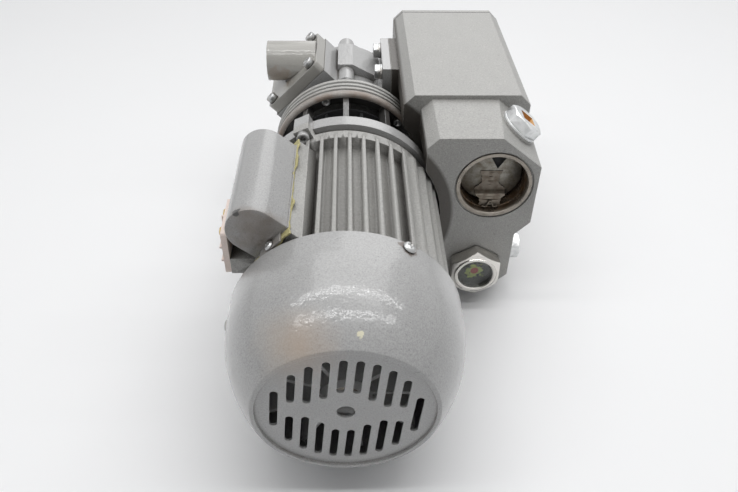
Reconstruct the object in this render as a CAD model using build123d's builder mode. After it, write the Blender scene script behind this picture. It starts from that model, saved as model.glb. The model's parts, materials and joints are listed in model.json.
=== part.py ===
"""Single-stage oil-sealed rotary vane vacuum pump with a flange-mounted capacitor motor.

Frame: the origin lies on the floor, in the middle of the four feet.
+Y runs along the shaft from the fan cowl to the pump, +Z is up.
Places marked "from the shaft" are measured from the shaft axis, x right and z up.
"""

from build123d import *
from math import cos, radians, sin, sqrt
import os

os.makedirs("parts", exist_ok=True)

# ---------------------------------------------------------------- driving dimensions (mm)
# Shaft line, and clearances that the mating pieces share
AXIS_X = -35.0
AXIS_Z = 96.0
RUNNING_FIT = 0.04
SEAT_GAP = 0.3
SCREW_GAP = 0.25

# Feet
FOOT_PITCH_X = 150.0
FOOT_PITCH_Y = 150.0
FOOT_RADIUS = 12.0
FOOT_HEIGHT = 13.0
FOOT_PAD_RADIUS = 13.5
FOOT_STUD_RADIUS = 3.0
FOOT_STUD_LENGTH = 9.0
FOOT_SOCKET_RADIUS = 4.2
FOOT_SOCKET_DEPTH = 8.0
FOOT_STUD_SEAT = 3.0

# Stations along the shaft, from the face between the bell housing and the pump
PUMP_FACE_Y = 6.0
SHROUD_LENGTH = 26.0
CAGE_LENGTH = 56.5
FLANGE_LENGTH = 12.5
FRAME_LENGTH = 152.0
COWL_LENGTH = 81.0
COWL_OVERLAP = 12.0
COVER_LENGTH = 18.0
CYLINDER_LENGTH = 68.0

# Fan cowl
COWL_RADIUS = 82.0
COWL_RIM_RADIUS = 60.0
COWL_STRAIGHT = 19.0
COWL_WALL = 2.0
COWL_FACE_RADIUS = 57.3
COWL_FACE_RECESS = 2.0
COWL_HOLE_RADIUS = 5.9
SLOT_TURN = -5.0
SLOT_PITCH = 10.04
SLOT_WIDTH = 5.0
SLOT_COLUMNS = 10
SLOT_FIELD_RADIUS = 49.6
SLOT_HUB_RADIUS = 19.4
SLOT_BRIDGE = 13.8
COWL_SCREW_ANGLES = (60.0, 180.0, 300.0)
COWL_SCREW_INSET = 5.0
COWL_SCREW_RADIUS = 2.5
COWL_SCREW_HEAD_RADIUS = 4.7
COWL_SCREW_HEAD_HEIGHT = 3.2
COWL_SCREW_LENGTH = 11.0

# Motor fan
MOTOR_FAN_RADIUS = 61.0
MOTOR_FAN_SETBACK = 14.0
MOTOR_FAN_LENGTH = 30.0
MOTOR_FAN_HUB_RADIUS = 17.0
MOTOR_FAN_PLATE = 2.5
MOTOR_FAN_BLADES = 9
MOTOR_FAN_BLADE_THICKNESS = 2.4

# Finned motor frame
FRAME_BORE_RADIUS = 60.0
FRAME_BODY_RADIUS = 65.0
FIN_TIP_RADIUS = 77.0
FIN_THICKNESS = 3.0
FIN_TURN = -2.5
TOP_FIN_PITCH = 10.85
TOP_FINS = 9
SIDE_FIN_PITCH = 9.4
SIDE_FINS = 13
COLLAR_LENGTH = 15.0
COLLAR_RADIUS = 73.9
COLLAR_GROOVE_LENGTH = 5.0
COLLAR_GROOVE_RADIUS = 71.0
COWL_BOSS_WIDTH = 12.0
COWL_BOSS_LENGTH = 15.0
LUG_ANGLES = (115.0, 295.0)
LUG_RADIUS = 79.0
LUG_WIDTH = 13.0
LUG_LENGTH = 9.0
LUG_SCREW_RADIUS = 3.0
LUG_SCREW_HEAD_RADIUS = 5.0
LUG_SCREW_HEAD_HEIGHT = 6.0

# Motor shaft, bearings, core and windings
BEARING_BORE_RADIUS = 10.0
BEARING_OUTER_RADIUS = 23.5
BEARING_WIDTH = 14.0
SHAFT_END_RADIUS = 9.5
ROTOR_SEAT_RADIUS = 14.0
ROTOR_RADIUS = 30.8
AIR_GAP = 0.5
CORE_LENGTH = 80.0
CORE_SETBACK = 31.0
CORE_SLOTS = 24
CORE_SLOT_DEPTH = 15.0
CORE_SLOT_WIDTH = 5.0
END_TURN_LENGTH = 17.0
END_TURN_OUTER_RADIUS = 54.0
END_TURN_INNER_RADIUS = 36.0
SHIELD_RADIUS = 76.0
SHIELD_LENGTH = 12.0
SHIELD_HUB_RADIUS = 30.0
SPIGOT_DEPTH = 6.0
SPIGOT_WALL = 5.0
FLANGE_RADIUS = 76.6

# Capacitor and its cover, on a pad that faces up and to the left
CAP_ANGLE = 139.7
CAP_SHIFT = 17.5
CAP_PAD_HEIGHT = 77.0
CAP_PAD_WIDTH = 36.0
CAP_PAD_SETBACK = 17.0
CAP_PAD_LENGTH = 110.0
CAP_GASKET = 1.5
CAP_COVER_WIDTH = 35.0
CAP_COVER_HEIGHT = 33.7
CAP_COVER_WALL = 1.5
CAP_COVER_LENGTH = 98.0
CAP_COVER_SETBACK = 21.0
CAP_TAB_LENGTH = 8.0
CAP_TAB_WIDTH = 22.0
CAPACITOR_RADIUS = 15.3
CAPACITOR_LENGTH = 84.0
CAP_SCREW_RADIUS = 2.0
CAP_SCREW_HEAD_RADIUS = 3.6
CAP_SCREW_HEAD_HEIGHT = 2.4

# Terminal block on the left of the frame
TERMINAL_FACE_X = 84.6
TERMINAL_THICKNESS = 5.8
TERMINAL_BOTTOM_Z = 33.0
TERMINAL_HEIGHT = 35.0
TERMINAL_SETBACK = 26.0
TERMINAL_LENGTH = 40.0
TERMINAL_PAD_HEIGHT = 13.0
TERMINAL_ROWS = 3
TERMINAL_ROW_PITCH = 11.5
TERMINAL_COLUMN_PITCH = 20.0
TERMINAL_SCREW_RADIUS = 2.0
TERMINAL_SCREW_HEAD_RADIUS = 3.6
TERMINAL_SCREW_HEAD_HEIGHT = 2.4
TERMINAL_RIB = 1.6

# Cage, grooved shroud, coupling and cooling fan of the pump
CAGE_RIBS = 10
CAGE_RIB_WIDTH = 4.8
CAGE_OUTER_RADIUS = 62.0
CAGE_INNER_RADIUS = 54.0
CAGE_SEAT_LENGTH = 7.0
SHROUD_RADIUS = 67.0
SHROUD_BORE_RADIUS = 62.6
SHROUD_PLATE = 10.0
SHROUD_GROOVES = 3
SHROUD_GROOVE_DEPTH = 1.5
SHROUD_GROOVE_WIDTH = 3.4
SHROUD_GROOVE_PITCH = 6.6
SHROUD_LIP = 2.6
SHROUD_HUB_RADIUS = 20.0
BELL_SCREWS = 5
BELL_SCREW_RADIUS = 2.5
BELL_SCREW_HEAD_RADIUS = 3.8
BELL_SCREW_HEAD_HEIGHT = 5.0
COUPLING_RADIUS = 27.0
COUPLING_HALF_LENGTH = 22.0
COUPLING_SPIDER_LENGTH = 12.0
COUPLING_JAWS = 3
COUPLING_JAW_SPAN = 34.0
COUPLING_JAW_INNER = 13.5
COUPLING_JAW_GAP = 1.0
PUMP_FAN_RADIUS = 52.0
PUMP_FAN_LENGTH = 21.0
PUMP_FAN_HUB = 5.0
PUMP_FAN_PLATE = 2.5
PUMP_FAN_BLADES = 10
PUMP_FAN_BLADE_THICKNESS = 2.4

# Vane pump
PUMP_BODY_RADIUS = 51.5
PUMP_BOSS_RADIUS = 8.0
PUMP_BOLT_CIRCLE = 52.0
PUMP_BOLT_ANGLES = (50.0, 90.0, 180.0, 230.0, 280.0, 330.0)
PUMP_BOLT_RADIUS = 3.0
PUMP_BOLT_HEAD_RADIUS = 5.0
PUMP_BOLT_HEAD_HEIGHT = 6.0
BORE_RADIUS = 39.0
VANE_ROTOR_RADIUS = 33.3
ROTOR_TOP_GAP = 0.2
END_GAP = 0.15
VANES = 3
VANE_THICKNESS = 5.0
VANE_SIDE_GAP = 0.08
VANE_DEPTH = 18.0
VANE_SLOT_FLOOR_GAP = 0.6
PUMP_SHAFT_RADIUS = 8.5
PUMP_BEARING_RADIUS = 20.0
PUMP_BEARING_WIDTH = 12.0
SEAL_RADIUS = 16.0
SEAL_LIP_GAP = 0.08
REAR_CAP_RADIUS = 27.0
REAR_CAP_LENGTH = 7.0

# Intake, on the cylinder's upper left
INTAKE_ANGLE = 135.0
INTAKE_BLOCK_HEIGHT = 61.4
INTAKE_BLOCK_WIDTH = 66.0
INTAKE_GASKET = 0.8
INTAKE_PLATE = 10.0
INTAKE_PORT_RADIUS = 14.0
INTAKE_BOLT_PITCH_Y = 56.0
INTAKE_BOLT_PITCH_T = 51.0
INTAKE_SCREW_RADIUS = 3.0
INTAKE_SCREW_HEAD_RADIUS = 5.0
INTAKE_SCREW_HEAD_HEIGHT = 6.0
INTAKE_SCREW_LENGTH = 16.0
STUB_RADIUS = 18.6
STUB_Z = 60.0
STUB_TIP_X = 75.0
STUB_ROOT_X = 29.0
STUB_PORT_SHIFT = 7.0
STUB_PORT_RADIUS = 9.5
STUB_BORE_END_X = 40.0
STUB_BORE_RADIUS = 12.06
STUB_THREAD_LENGTH = 18.0
VALVE_CHAMBER_RADIUS = 19.5
VALVE_CHAMBER_DEPTH = 10.0
VALVE_DISC_RADIUS = 18.6
VALVE_DISC_THICKNESS = 2.5

# Exhaust gallery and side flange, between the cylinder and the separator
SIDE_FLANGE_LEFT_X = 34.0
SIDE_FLANGE_THICKNESS = 7.6
SIDE_GASKET = 0.8
SIDE_FLANGE_TOP_Z = 68.0
SIDE_FLANGE_HEIGHT = 62.0
GALLERY_LENGTH = 46.0
GALLERY_PORT_RADIUS = 10.5
GALLERY_PORT_Z = 25.0
GALLERY_TOP_Z = 62.0
GALLERY_SHOULDER_X = 6.0
GALLERY_EDGE_Z = 47.0
SIDE_BOLT_PITCH_Y = 46.0
SIDE_BOLT_PITCH_Z = 46.0
SIDE_BOLT_RADIUS = 4.0
SIDE_BOLT_DEPTH = 10.0
SIDE_BOLT_HEX = 13.0
SIDE_BOLT_HEAD_HEIGHT = 5.3
INNER_SCREW_RADIUS = 2.5
INNER_SCREW_DEPTH = 6.0
INNER_SCREW_REACH = 34.0
INNER_SCREW_HEAD_RADIUS = 4.25
INNER_SCREW_HEAD_HEIGHT = 5.0
SIDE_WASHER_RADIUS = 7.2
SIDE_WASHER_THICKNESS = 2.0

# Oil separator: a long box with a narrower nose beside the motor
BOX_LEFT_X = 49.0
BOX_RIGHT_X = 157.0
BOX_TOP_Z = 80.0
BOX_BOTTOM_Z = -78.0
BOX_CORNER = 9.0
BOX_INNER_CORNER = 6.5
BOX_SETBACK = 54.0
BOX_LENGTH = 176.0
BOX_WALL = 5.0
BOX_SCALLOP_RADIUS = 70.0
BOX_LID = 5.0
BOX_GASKET = 1.0
NOSE_LENGTH = 62.0
NOSE_LEFT_X = 64.0
NOSE_TOP_Z = 76.0
NOSE_BOTTOM_Z = -76.0
NOSE_STEP_X = 145.0
NOSE_SCALLOP_RADIUS = 78.5
NOSE_WALL = 7.0
NOSE_FRONT_SHOULDER = 34.0
NOSE_ROOT_SHOULDER = 28.0
NOSE_SHOULDER_SLOPE = 0.8
NOSE_STEP_TOP_Z = -7.0
NOSE_STEP_SLOPE = 1.1
LID_SCREW_RADIUS = 2.5
LID_SCREW_HEAD_RADIUS = 4.25
LID_SCREW_HEAD_HEIGHT = 5.0
LID_SCREW_INSET = 9.0
LID_BOSS_RADIUS = 6.0
LID_BOSS_LENGTH = 16.0
PARTITION_THICKNESS = 5.0
PARTITION_PASSAGE = 24.0

# Exhaust port, filter and leaf spring
PORT_X = 121.0
PORT_Z = 31.0
PORT_RING_RADIUS = 31.0
PORT_SPIGOT_RADIUS = 27.5
PORT_SPIGOT_DEPTH = 8.0
PORT_RING_BORE = 27.1
PORT_RING_LENGTH = 24.0
PORT_RING_EDGE = 0.8
PORT_GROOVE_RADIUS = 32.6
PORT_GROOVE_DEPTH = 1.4
FILTER_RADIUS = 26.5
FILTER_LENGTH = 195.0
FILTER_CORE_RADIUS = 14.0
FILTER_SETBACK = 17.0
LEAF_THICKNESS = 1.2
LEAF_LENGTH = 46.0
LEAF_WIDTH = 27.0
LEAF_WAIST = 15.0
LEAF_LIP = 7.0

# Sight glass, filler plug and drain plug
GLASS_X = 113.5
GLASS_Z = -56.0
GLASS_NUT_HEX = 42.0
GLASS_NUT_LENGTH = 12.0
GLASS_THREAD_RADIUS = 17.0
GLASS_BORE_RADIUS = 15.5
GLASS_THICKNESS = 4.0
GLASS_SETBACK = 2.5
GLASS_SEAL = 1.0
REFLECTOR_GAP = 1.0
REFLECTOR_THICKNESS = 1.2
FILLER_HEX = 29.0
FILLER_HEIGHT = 9.0
FILLER_WASHER_RADIUS = 17.0
FILLER_WASHER = 2.0
FILLER_THREAD_RADIUS = 11.0
FILLER_THREAD_LENGTH = 10.0
FILLER_SQUARE = 13.0
FILLER_SQUARE_DEPTH = 6.0
FILLER_SETBACK = 36.0
FILLER_BOSS = 1.5
DRAIN_BOSS = 1.5
DRAIN_HEX = 22.0
DRAIN_HEIGHT = 8.0
DRAIN_WASHER_RADIUS = 12.5
DRAIN_WASHER = 1.8
DRAIN_THREAD_RADIUS = 8.0
DRAIN_THREAD_LENGTH = 9.0
DRAIN_Z = -50.0
DRAIN_SETBACK = 22.0

# ---------------------------------------------------------------- stations along Y
SHROUD_Y = PUMP_FACE_Y - SHROUD_LENGTH
FLANGE_REAR_Y = SHROUD_Y - CAGE_LENGTH
FLANGE_Y = FLANGE_REAR_Y - FLANGE_LENGTH
FRAME_Y = FLANGE_Y - FRAME_LENGTH
COWL_REAR_Y = FRAME_Y + COWL_OVERLAP
COWL_FACE_Y = COWL_REAR_Y - COWL_LENGTH
DOME_Y = COWL_REAR_Y - COWL_STRAIGHT
COVER_REAR_Y = PUMP_FACE_Y + COVER_LENGTH
CYLINDER_REAR_Y = COVER_REAR_Y + CYLINDER_LENGTH
PUMP_REAR_Y = CYLINDER_REAR_Y + COVER_LENGTH
CAGE_SEAT_Y = PUMP_FACE_Y - SHROUD_PLATE
BOX_Y = PUMP_FACE_Y - BOX_SETBACK
BOX_REAR_Y = BOX_Y + BOX_LENGTH
NOSE_Y = BOX_Y - NOSE_LENGTH
CORE_Y = FRAME_Y + CORE_SETBACK
CORE_REAR_Y = CORE_Y + CORE_LENGTH
SHIELD_Y = FRAME_Y - SHIELD_LENGTH
COWL_SCREW_Y = COWL_REAR_Y - COWL_SCREW_INSET

# ---------------------------------------------------------------- planes and shared shapes
SHAFT = Axis((AXIS_X, 0, AXIS_Z), (0, 1, 0))
ALONG = Plane(origin=(AXIS_X, 0, AXIS_Z))


def across(y, turn=0.0):
    """Plane square to the shaft at station y, x right and z up, that extrudes towards the cowl."""
    right = (cos(radians(turn)), 0, sin(radians(turn)))
    return Plane(origin=(AXIS_X, y, AXIS_Z), x_dir=right, z_dir=(0, -1, 0))


def radial(angle, height, y, shift=0.0):
    """Plane that faces out from the shaft at an angle from +X: x across, y along the shaft."""
    out = Vector(cos(radians(angle)), 0, sin(radians(angle)))
    side = Vector(sin(radians(angle)), 0, -cos(radians(angle)))
    origin = Vector(AXIS_X, y, AXIS_Z) + out * height + side * shift
    return Plane(origin=origin, x_dir=side, z_dir=out)


def disc(near, far, radius, mode=Mode.ADD, x=0.0, z=0.0):
    """Round slice between two stations, about the shaft or about a point from it."""
    with BuildSketch(across(far)) as outline:
        with Locations((x, z)):
            Circle(radius)
    extrude(outline.sketch, amount=far - near, mode=mode)


def peg(plane, radius, length, mode=Mode.ADD):
    """Round peg that stands on a plane."""
    with BuildSketch(plane) as outline:
        Circle(radius)
    extrude(outline.sketch, amount=length, mode=mode)


def hex_head(plane, flats, height, turn=0.0):
    """Hexagon head across its flats that stands on a plane."""
    with BuildSketch(plane) as outline:
        RegularPolygon(flats / 2, 6, major_radius=False, rotation=turn)
    extrude(outline.sketch, amount=height)


def socket_screw(plane, radius, length, head_radius, head_height):
    """Socket screw: its head stands on the plane and its shank goes down from it."""
    peg(plane, head_radius, head_height)
    peg(plane, radius, -length)
    with BuildSketch(plane.offset(head_height)) as recess:
        RegularPolygon(head_radius * 0.5, 6)
    extrude(recess.sketch, amount=-head_height * 0.55, mode=Mode.SUBTRACT)


def pan_screw(plane, radius, length, head_radius, head_height):
    """Pan-head screw with a cross recess: head on the plane, shank down from it."""
    peg(plane, head_radius, head_height)
    peg(plane, radius, -length)
    with BuildSketch(plane.offset(head_height)) as recess:
        Rectangle(head_radius * 1.1, head_radius * 0.28)
        Rectangle(head_radius * 0.28, head_radius * 1.1)
    extrude(recess.sketch, amount=-head_height * 0.5, mode=Mode.SUBTRACT)


def save(builder, name):
    """Label a finished piece and write it under its name."""
    builder.part.label = name
    export_step(builder.part, f"parts/{name}.step")


# ---------------------------------------------------------------- fan cowl
def cowl_slots():
    """Upright slots whose ends follow a circle, split by a bridge except in the outer columns."""
    for column in range(SLOT_COLUMNS):
        x = (column - (SLOT_COLUMNS - 1) / 2) * SLOT_PITCH
        outer = sqrt(SLOT_FIELD_RADIUS**2 - (abs(x) + SLOT_WIDTH / 4) ** 2)
        if column in (0, SLOT_COLUMNS - 1):
            with Locations((x, 0)):
                SlotOverall(2 * outer, SLOT_WIDTH, rotation=90)
        else:
            hub = sqrt(max(SLOT_HUB_RADIUS**2 - x**2, 0))
            inner = max(hub, SLOT_BRIDGE / 2)
            for side in (-1, 1):
                with Locations((x, side * (outer + inner) / 2)):
                    SlotOverall(outer - inner, SLOT_WIDTH, rotation=90)


with BuildPart() as fan_cowl:
    with BuildSketch(ALONG) as cowl_profile:
        with BuildLine():
            inner_y = COWL_FACE_Y + COWL_FACE_RECESS + COWL_WALL
            inner_rim = COWL_RIM_RADIUS - COWL_WALL / 4
            back = Line((0, inner_y), (0, COWL_FACE_Y + COWL_FACE_RECESS))
            face = Line(back @ 1, (COWL_FACE_RADIUS, COWL_FACE_Y + COWL_FACE_RECESS))
            step = Line(face @ 1, (COWL_FACE_RADIUS, COWL_FACE_Y))
            rim = Line(step @ 1, (COWL_RIM_RADIUS, COWL_FACE_Y))
            skirt = Line((COWL_RADIUS, DOME_Y), (COWL_RADIUS, COWL_REAR_Y))
            TangentArc(skirt @ 0, rim @ 1, tangent=(0, -1))
            edge = Line(skirt @ 1, (COWL_RADIUS - COWL_WALL, COWL_REAR_Y))
            inside = Line(edge @ 1, (COWL_RADIUS - COWL_WALL, DOME_Y))
            TangentArc(inside @ 1, (inner_rim, inner_y), tangent=(0, -1))
            Line((inner_rim, inner_y), back @ 0)
        make_face()
        rim_corner = cowl_profile.vertices().sort_by(Axis.Y).filter_by(
            lambda v: abs(v.Y - COWL_FACE_Y) < 1e-6 and v.X > COWL_FACE_RADIUS + 1
        )
        fillet(rim_corner, COWL_WALL * 0.6)
    revolve(axis=SHAFT)
    with BuildSketch(across(inner_y, SLOT_TURN)):
        cowl_slots()
        Circle(COWL_HOLE_RADIUS)
    extrude(amount=COWL_WALL, mode=Mode.SUBTRACT)
    for angle in COWL_SCREW_ANGLES:
        with BuildSketch(radial(angle, COWL_RADIUS - 2 * COWL_WALL, COWL_SCREW_Y)):
            notch = 2 * (COWL_SCREW_RADIUS + SCREW_GAP)
            Circle(notch / 2)
            with Locations((0, COWL_SCREW_INSET)):
                Rectangle(notch, 2 * COWL_SCREW_INSET)
        extrude(amount=4 * COWL_WALL, mode=Mode.SUBTRACT)
save(fan_cowl, "fan_cowl")

with BuildPart() as cowl_screws:
    for angle in COWL_SCREW_ANGLES:
        pan_screw(
            radial(angle, COWL_RADIUS + SCREW_GAP, COWL_SCREW_Y),
            COWL_SCREW_RADIUS,
            COWL_SCREW_LENGTH,
            COWL_SCREW_HEAD_RADIUS,
            COWL_SCREW_HEAD_HEIGHT,
        )
save(cowl_screws, "cowl_screws")

# ---------------------------------------------------------------- motor shaft and fan
MOTOR_FAN_Y = COWL_FACE_Y + MOTOR_FAN_SETBACK
MOTOR_FAN_REAR_Y = MOTOR_FAN_Y + MOTOR_FAN_LENGTH
REAR_BEARING_Y = FRAME_Y - SHIELD_LENGTH + 1.0
FRONT_BEARING_Y = FLANGE_Y - SPIGOT_DEPTH + 1.0
MOTOR_SHAFT_END_Y = FLANGE_REAR_Y + COUPLING_HALF_LENGTH

with BuildPart() as motor_shaft:
    with BuildSketch(ALONG):
        with BuildLine():
            journal = BEARING_BORE_RADIUS - RUNNING_FIT
            Polyline(
                (0, MOTOR_FAN_Y),
                (SHAFT_END_RADIUS, MOTOR_FAN_Y),
                (SHAFT_END_RADIUS, REAR_BEARING_Y - 1),
                (journal, REAR_BEARING_Y - 1),
                (journal, CORE_Y - 6),
                (ROTOR_SEAT_RADIUS, CORE_Y - 6),
                (ROTOR_SEAT_RADIUS, CORE_REAR_Y + 6),
                (journal, CORE_REAR_Y + 6),
                (journal, FRONT_BEARING_Y + BEARING_WIDTH + 1),
                (SHAFT_END_RADIUS, FRONT_BEARING_Y + BEARING_WIDTH + 1),
                (SHAFT_END_RADIUS, MOTOR_SHAFT_END_Y),
                (0, MOTOR_SHAFT_END_Y),
                close=True,
            )
        make_face()
    revolve(axis=SHAFT)
save(motor_shaft, "motor_shaft")

with BuildPart() as motor_rotor:
    disc(CORE_Y - 3, CORE_REAR_Y + 3, ROTOR_RADIUS)
    disc(CORE_Y - 3, CORE_REAR_Y + 3, ROTOR_SEAT_RADIUS, Mode.SUBTRACT)
    chamfer(motor_rotor.edges().filter_by(GeomType.CIRCLE), 1.2)
save(motor_rotor, "motor_rotor")

with BuildPart() as motor_fan:
    disc(MOTOR_FAN_REAR_Y - MOTOR_FAN_PLATE, MOTOR_FAN_REAR_Y, MOTOR_FAN_RADIUS)
    disc(MOTOR_FAN_Y, MOTOR_FAN_REAR_Y, MOTOR_FAN_HUB_RADIUS)
    blade_reach = MOTOR_FAN_RADIUS - MOTOR_FAN_HUB_RADIUS
    with BuildSketch(across(MOTOR_FAN_REAR_Y - MOTOR_FAN_PLATE)):
        with PolarLocations(MOTOR_FAN_HUB_RADIUS + blade_reach / 2 - 1, MOTOR_FAN_BLADES):
            Rectangle(blade_reach, MOTOR_FAN_BLADE_THICKNESS)
    extrude(amount=MOTOR_FAN_LENGTH - 2 * MOTOR_FAN_PLATE)
    disc(MOTOR_FAN_Y, MOTOR_FAN_REAR_Y, SHAFT_END_RADIUS, Mode.SUBTRACT)
save(motor_fan, "motor_fan")

# ---------------------------------------------------------------- motor end shield and bearings
with BuildPart() as motor_end_shield:
    disc(SHIELD_Y, FRAME_Y, SHIELD_RADIUS)
    disc(FRAME_Y, FRAME_Y + SPIGOT_DEPTH, FRAME_BORE_RADIUS - RUNNING_FIT)
    hollow = FRAME_BORE_RADIUS - SPIGOT_WALL
    disc(SHIELD_Y + SPIGOT_WALL, FRAME_Y + SPIGOT_DEPTH, hollow, Mode.SUBTRACT)
    disc(SHIELD_Y, REAR_BEARING_Y + BEARING_WIDTH, SHIELD_HUB_RADIUS)
    disc(REAR_BEARING_Y, REAR_BEARING_Y + BEARING_WIDTH, BEARING_OUTER_RADIUS, Mode.SUBTRACT)
    disc(SHIELD_Y, REAR_BEARING_Y, ROTOR_SEAT_RADIUS, Mode.SUBTRACT)
    with BuildSketch(across(SHIELD_Y + SPIGOT_WALL)):
        with PolarLocations((hollow + SHIELD_HUB_RADIUS) / 2, 6):
            Rectangle(hollow - SHIELD_HUB_RADIUS + 2, SPIGOT_WALL)
    extrude(amount=-SHIELD_LENGTH / 2)
save(motor_end_shield, "motor_end_shield")


def ball_bearing(y, width, bore, outer):
    """Shielded ball bearing: one closed ring with a shallow groove on each face."""
    disc(y, y + width, outer)
    disc(y, y + width, bore, Mode.SUBTRACT)
    wall = (outer - bore) / 3
    for near, far in ((y, y + 0.6), (y + width - 0.6, y + width)):
        with BuildSketch(across(far)) as shield:
            Circle(outer - wall)
            Circle(bore + wall, mode=Mode.SUBTRACT)
        extrude(shield.sketch, amount=far - near, mode=Mode.SUBTRACT)


with BuildPart() as motor_bearings:
    for near in (REAR_BEARING_Y, FRONT_BEARING_Y):
        ball_bearing(near, BEARING_WIDTH, BEARING_BORE_RADIUS, BEARING_OUTER_RADIUS)
save(motor_bearings, "motor_bearings")

# ---------------------------------------------------------------- finned motor frame
CAP_Y = FRAME_Y + CAP_COVER_SETBACK
CAP_PAD_Y = FRAME_Y + CAP_PAD_SETBACK
TERMINAL_Y = FRAME_Y + TERMINAL_SETBACK
TERMINAL_MID_Y = TERMINAL_Y + TERMINAL_LENGTH / 2
TERMINAL_MID_Z = TERMINAL_BOTTOM_Z + TERMINAL_HEIGHT / 2
TERMINAL_BACK_X = TERMINAL_FACE_X - TERMINAL_THICKNESS


def fin_section():
    """Upright fins above and below, level fins at the sides, all trimmed to one circle."""
    corner = TOP_FIN_PITCH * (TOP_FINS - 1) / 2
    reach = FIN_TIP_RADIUS - corner
    with GridLocations(TOP_FIN_PITCH, 0, TOP_FINS, 1):
        Rectangle(FIN_THICKNESS, 2 * FIN_TIP_RADIUS)
    with GridLocations(2 * corner + reach, SIDE_FIN_PITCH, 2, SIDE_FINS):
        Rectangle(reach, FIN_THICKNESS)
    Circle(FIN_TIP_RADIUS, mode=Mode.INTERSECT)
    Circle(FRAME_BODY_RADIUS)


with BuildPart() as motor_frame:
    with BuildSketch(across(FLANGE_Y - COLLAR_LENGTH, FIN_TURN)):
        fin_section()
    extrude(amount=FRAME_LENGTH - COLLAR_LENGTH)
    disc(FLANGE_Y - COLLAR_LENGTH, FLANGE_Y - COLLAR_GROOVE_LENGTH, COLLAR_RADIUS)
    disc(FLANGE_Y - COLLAR_GROOVE_LENGTH, FLANGE_Y, COLLAR_GROOVE_RADIUS)
    with BuildSketch(radial(CAP_ANGLE, FRAME_BORE_RADIUS, CAP_PAD_Y, CAP_SHIFT)):
        with Locations((0, CAP_PAD_LENGTH / 2)):
            Rectangle(CAP_PAD_WIDTH, CAP_PAD_LENGTH)
    extrude(amount=CAP_PAD_HEIGHT - FRAME_BORE_RADIUS)
    with BuildSketch(radial(180, FRAME_BORE_RADIUS - 10, TERMINAL_Y)):
        with Locations((TERMINAL_BOTTOM_Z + TERMINAL_PAD_HEIGHT / 2, TERMINAL_LENGTH / 2)):
            Rectangle(TERMINAL_PAD_HEIGHT, TERMINAL_LENGTH)
    extrude(amount=TERMINAL_BACK_X - FRAME_BORE_RADIUS + 10)
    for angle in COWL_SCREW_ANGLES:
        with BuildSketch(radial(angle, FRAME_BORE_RADIUS, FRAME_Y)):
            with Locations((0, COWL_BOSS_LENGTH / 2)):
                Rectangle(COWL_BOSS_WIDTH, COWL_BOSS_LENGTH)
        extrude(amount=COWL_RADIUS - COWL_WALL - SEAT_GAP - FRAME_BORE_RADIUS)
    for angle in LUG_ANGLES:
        with BuildSketch(radial(angle, FRAME_BODY_RADIUS, FLANGE_Y - LUG_LENGTH)):
            with Locations((0, LUG_LENGTH / 2)):
                Rectangle(LUG_WIDTH, LUG_LENGTH)
        extrude(amount=LUG_RADIUS + LUG_SCREW_HEAD_RADIUS - FRAME_BODY_RADIUS)
        place = LUG_RADIUS * cos(radians(angle)), LUG_RADIUS * sin(radians(angle))
        disc(FLANGE_Y - LUG_LENGTH, FLANGE_Y, LUG_SCREW_RADIUS + SCREW_GAP, Mode.SUBTRACT, *place)
    disc(FRAME_Y, FLANGE_Y, FRAME_BORE_RADIUS, Mode.SUBTRACT)
    for angle in COWL_SCREW_ANGLES:
        hole = radial(angle, COWL_RADIUS, COWL_SCREW_Y)
        peg(hole, COWL_SCREW_RADIUS + SCREW_GAP, -COWL_SCREW_LENGTH - 2, Mode.SUBTRACT)
save(motor_frame, "motor_frame")

# ---------------------------------------------------------------- stator
with BuildPart() as stator_core:
    with BuildSketch(across(CORE_REAR_Y)):
        Circle(FRAME_BORE_RADIUS - RUNNING_FIT)
        Circle(ROTOR_RADIUS + AIR_GAP, mode=Mode.SUBTRACT)
        with PolarLocations((END_TURN_OUTER_RADIUS + END_TURN_INNER_RADIUS) / 2, CORE_SLOTS):
            Rectangle(CORE_SLOT_DEPTH, CORE_SLOT_WIDTH, mode=Mode.SUBTRACT)
    extrude(amount=CORE_LENGTH)
save(stator_core, "stator_core")

with BuildPart() as stator_windings:
    with BuildSketch(across(CORE_REAR_Y)):
        with PolarLocations((END_TURN_OUTER_RADIUS + END_TURN_INNER_RADIUS) / 2, CORE_SLOTS):
            Rectangle(CORE_SLOT_DEPTH - 2 * SCREW_GAP, CORE_SLOT_WIDTH - 2 * SCREW_GAP)
    extrude(amount=CORE_LENGTH)
    for near in (CORE_Y - END_TURN_LENGTH, CORE_REAR_Y):
        with BuildSketch(ALONG):
            with Locations(
                ((END_TURN_OUTER_RADIUS + END_TURN_INNER_RADIUS) / 2, near + END_TURN_LENGTH / 2)
            ):
                RectangleRounded(
                    END_TURN_OUTER_RADIUS - END_TURN_INNER_RADIUS, END_TURN_LENGTH, 4
                )
        revolve(axis=SHAFT)
save(stator_windings, "stator_windings")

# ---------------------------------------------------------------- capacitor and cover
CAP_BASE_HEIGHT = CAP_PAD_HEIGHT + CAP_GASKET
CAP_SCREW_STATIONS = (
    CAP_Y - CAP_TAB_LENGTH / 2,
    CAP_Y + CAP_COVER_LENGTH + CAP_TAB_LENGTH / 2,
)


def cover_section(inset):
    """Half-round arch on straight sides, from the cover's base plane."""
    half = CAP_COVER_WIDTH / 2 - inset
    centre = CAP_COVER_HEIGHT - CAP_COVER_WIDTH / 2
    with BuildLine() as outline:
        left = Line((-half, 0), (-half, centre))
        arch = ThreePointArc(left @ 1, (0, centre + half), (half, centre))
        right = Line(arch @ 1, (half, 0))
        Line(right @ 1, left @ 0)
    make_face(outline.edges())


def cap_end(y):
    """Plane across the capacitor cover at station y: x across its base, y up its height."""
    base = radial(CAP_ANGLE, CAP_BASE_HEIGHT, y, CAP_SHIFT)
    return Plane(origin=base.origin, x_dir=base.x_dir, z_dir=-base.y_dir)


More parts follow.
